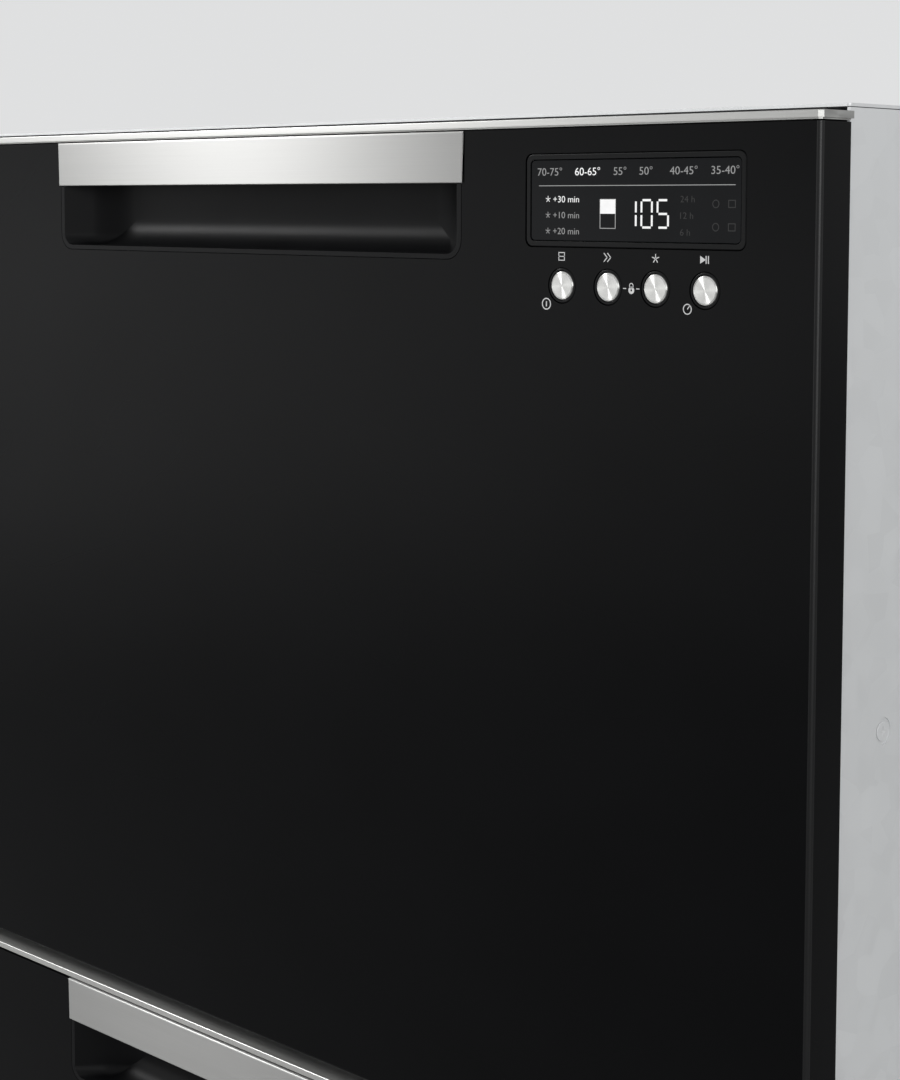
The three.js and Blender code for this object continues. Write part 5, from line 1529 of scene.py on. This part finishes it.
feet = {"x": 262.0, "front": -204.0, "rear": 241.5, "pad": 19.0, "height": 13.7, "stud": 4.0, "studTop": 79.7,
        "boss": 9.0, "bossHeight": 10.0, "bore": 4.4, "padRound": 2.5, "nut": 9.5, "nutHeight": 4.0,
        "thread": 0.7, "threadPitch": 1.5, "threadWidth": 0.9, "grips": 20, "grip": 1.6, "gripOut": 0.6}
footPlaces = {
    "front_left": (-feet["x"], feet["front"]), "front_right": (feet["x"], feet["front"]),
    "rear_left": (-feet["x"], feet["rear"]), "rear_right": (feet["x"], feet["rear"]),
}


def makeBase():
    half = cabinet["innerHalf"]
    (y0, y1), low = cabinet["pan"], cabinet["base"]
    tray = block("basePan", (-half, half), (y0, y1), (low, low + cabinet["panHeight"]))
    cut(tray, block("inside", (-half + sheet, half - sheet), (y0 + sheet, y1 - sheet),
                    (low + sheet, low + cabinet["panHeight"] + 4)))
    bosses = [disc("boss", feet["boss"], "Z", (low - feet["bossHeight"], low + 0.5), at, 32)
              for at in footPlaces.values()]
    for boss in bosses:
        roundRim(boss, "Z", 1, 3, lambda at: at.z < low - 9)
    fuse(tray, *bosses)
    pockets = [disc("bore", feet["bore"], "Z", (low - 12, low + 3), at, 28) for at in footPlaces.values()]
    for x0, x1 in ((-235, -90), (-70, 70), (90, 235)):
        pocket = block("field", (x0, x1), (-190, 230), (low - 1, low + 0.5))
        roundAlong(pocket, "Z", 14, 5)
        pockets.append(pocket)
    cut(tray, *pockets)
    return soften(tray, 0.25, 2, 40)


def makeFoot():
    pad = disc("foot", feet["pad"], "Z", (0, feet["height"] - 2.5), (0, 0), 48)
    roundRim(pad, "Z", feet["padRound"], 4, lambda at: at.z > 1)
    roundRim(pad, "Z", 1, 2, lambda at: at.z < 0.1)
    nut = disc("nut", feet["nut"], "Z", (feet["height"] - feet["nutHeight"], feet["height"]), (0, 0), 6)
    stud = disc("stud", feet["stud"] - feet["thread"], "Z", (feet["height"] - 1, feet["studTop"]), (0, 0), 24)
    roundRim(stud, "Z", 1.2, 2, lambda at: at.z > feet["studTop"] - 1)
    # Thread: separate thin rings with coned edges, one to each turn.
    rings = []
    z = feet["height"] + 0.8
    while z < feet["studTop"] - 2.5:
        ring = disc("turn", feet["stud"] - 0.02, "Z", (z, z + feet["threadWidth"]), (0, 0), 24)
        rings.append(roundRim(ring, "Z", 0.4, 1))
        z += feet["threadPitch"]
    reach = feet["pad"] + feet["gripOut"]
    angles = [math.tau * i / feet["grips"] for i in range(feet["grips"])]
    grips = [disc("grip", feet["grip"], "Z", (-1, feet["height"] - 2),
                  (reach * math.cos(angle), reach * math.sin(angle)), 12) for angle in angles]
    cut(pad, group(*grips))
    return smooth(group(pad, nut, stud, *rings), 35)


basePan = makeBase()
place(basePan, "cabinet", "galvanised_steel", galvanised, "base_pan")
foot = makeFoot()
for name, (x, y) in footPlaces.items():
    twin = duplicate(foot, "foot" + name.title().replace("_", ""), (x, y, 0))
    place(twin, "foot_" + name + "_screw", "black_plastic", blackPlastic, "foot_" + name)
bpy.data.objects.remove(foot)


def makeShelf():
    half, front = cabinet["innerHalf"], cabinet["front"]
    z = cabinet["shelf"]
    plate = block("middleShelf", (-half, half), (front, cabinet["sideBack"] - 1.5), (z, z + sheet))
    brace = block("brace", (-half, half), (front, front + cabinet["brace"]), (z, z + cabinet["brace"]))
    inside = block("inside", (-half - 3, half + 3), (front + sheet, front + cabinet["brace"] + 3),
                   (z + sheet, z + cabinet["brace"] - sheet))
    cut(brace, inside)
    fuse(plate, brace)
    fuse(plate, *guidePosts("post", lowerTop - lid["top"] - 8, z + 0.5))
    pockets = []
    for x0, x1 in ((-262, -96), (-83, 83), (96, 262)):
        pocket = block("field", (x0, x1), (-210, 250), (z + sheet - 0.5, z + 4))
        pockets.append(roundAlong(pocket, "Z", 14, 5))
    cut(plate, *pockets)
    return soften(plate, 0.25, 2, 40)


def makeToeKick():
    half = cabinet["innerHalf"]
    y, top = cabinet["toeY"], cabinet["toe"]
    body = block("toeKick", (-half, half), (y, y + 14), (6, top))
    cut(body, block("inside", (-half - 3, half + 3), (y + sheet, y + 20), (0, top - sheet)))
    roundAlong(body, "X", 0.6, 2, lambda at: at.y < y + 0.5)
    slots = ventSlots(vents["toe"], (y - 2, y + 3))
    cut(body, group(*slots))
    return soften(body, 0.2, 2, 40)


middleShelf = makeShelf()
place(middleShelf, "cabinet", "galvanised_steel", galvanised, "middle_shelf")
toeKick = makeToeKick()
place(toeKick, "cabinet", "black_plastic", blackPlastic, "toe_kick")
print("cabinet made")


# Liner that closes the back of each front: pressed below the tub, screwed along its edges.
liner = {"half": 296.0, "front": -267.6, "back": -266.1, "margin": 3.0, "under": 3.5, "cutHalf": 132.0,
         "cutDrop": 54.5, "corner": 8.0, "fieldsX": ((-262, -12), (12, 262)), "fieldCorner": 8.0,
         "fieldDepth": 2.0, "screwX": 288.0, "screwMargins": (12.0, 16.0, 9.0)}


def makeLiner(name, top, height, field):
    y0, y1 = liner["front"], liner["back"]
    low = top - height + liner["margin"]
    plate = block(name, (-liner["half"], liner["half"]), (y0, y1), (low, top - liner["under"]))
    roundAlong(plate, "Y", 2, 3)
    cut(plate, bucket("opening", liner["cutHalf"], top + 1, top - liner["cutDrop"], liner["corner"],
                      y0 - 2, y1 + 2))
    fields = [(x, field) for x in liner["fieldsX"]]
    foot, head, centre = liner["screwMargins"]
    screws = [(x, z) for x in (-liner["screwX"], liner["screwX"])
              for z in (low + foot, (low + top) / 2, top - head)] + [(0, low + centre)]
    heads = pressSheet(plate, "Y", y1, fields, screws, liner["fieldCorner"], liner["fieldDepth"])
    soften(plate, 0.2, 2, 30)
    return smooth(group(plate, *heads), 35)


for prefix, top, height, field in (
    ("upper", upperTop, machine["upperHeight"], (436, 512)),
    ("lower", lowerTop, machine["lowerHeight"], (90, 114)),
):
    panel = makeLiner(prefix + "InnerPanel", top, height, field)
    place(panel, prefix + "_drawer", "inner_steel", innerSteel, prefix + "_inner_panel")

# Telescopic runners: three nested rolled channels with slots in their webs.
runner = {"y": (-262.0, 238.0), "sheet": 1.4, "drop": 222.9, "pitch": 96.0, "first": 58.0, "count": 5,
          "slotHalf": (12.0, 3.2), "slotRound": 3.1, "hole": 2.4, "holeShift": 30.0,
          "corner": 1.8, "innerCorner": 0.8}
# name: web side, open side, half height, body
channels = {
    "outer": (294.5, 284.9, 21.0, "cabinet"),
    "middle": (292.7, 283.9, 19.2, "middle"),
    "inner": (281.9, 290.9, 17.4, "drawer"),
}


def makeChannel(name, web, openSide, half):
    y0, y1 = runner["y"]
    z = upperTop - runner["drop"]
    t = runner["sheet"]
    way = 1 if web > openSide else -1
    body = block(name, sorted((web, openSide)), (y0, y1), (z - half, z + half))
    roundAlong(body, "Y", runner["corner"], 4, lambda at: abs(at.x - web) < 0.1)
    hollow = block("hollow", sorted((web - way * t, openSide - way * 4)), (y0 - 3, y1 + 3),
                   (z - half + t, z + half - t))
    roundAlong(hollow, "Y", runner["innerCorner"], 2, lambda at: abs(at.x - web) < t + 0.1)
    through = sorted((web - way * 3, web + way * 3))
    long, tall = runner["slotHalf"]
    slots = []
    for i in range(runner["count"]):
        y = y0 + runner["first"] + i * runner["pitch"]
        slot = block("slot", through, (y - long, y + long), (z - tall, z + tall))
        slots.append(roundAlong(slot, "X", runner["slotRound"], 5))
        slots.append(disc("hole", runner["hole"], "X", through, (y + runner["holeShift"], z), 20))
    cut(body, hollow)
    cut(body, group(*slots))
    return soften(body, 0.18, 2, 40)


for part, (web, openSide, half, body) in channels.items():
    rightOne = makeChannel("upperRunner" + part.title() + "Right", web, openSide, half)
    leftOne = mirrored(rightOne, "upperRunner" + part.title() + "Left")
    for side, piece in (("right", rightOne), ("left", leftOne)):
        twin = duplicate(piece, piece.name.replace("upper", "lower"), dropToLower)
        for prefix, one in (("upper", piece), ("lower", twin)):
            carrier = {"cabinet": "cabinet", "drawer": prefix + "_drawer",
                       "middle": f"{prefix}_middle_runner_{side}"}[body]
            place(one, carrier, "runner_zinc", runnerZinc, f"{prefix}_runner_{part}_{side}")
print("liners and runners made")


# Every CAD node that still shows takes its finish from the record's slots.
slotFinish = {
    "black_front": frontBlack, "black_plastic": blackPlastic, "brushed_steel": brushedSteel,
    "satin_trim": satinTrim, "inner_steel": innerSteel, "galvanised_steel": galvanised,
    "runner_zinc": runnerZinc, "tub_plastic": tubPlastic, "lid_plastic": lidPlastic,
    "grey_plastic": greyPlastic, "rack_coating": rackCoat, "rubber_seal": sealRubber,
    "smoked_window": smokedWindow, "circuit_board": boardGreen, "filter_steel": filterSteel,
}
for entry in frame["record"]["subparts"]:
    for slot in nodes[entry["node"]].material_slots:
        slot.material = slotFinish[entry["material_slot"]]
selectNone()

print("all pieces made")
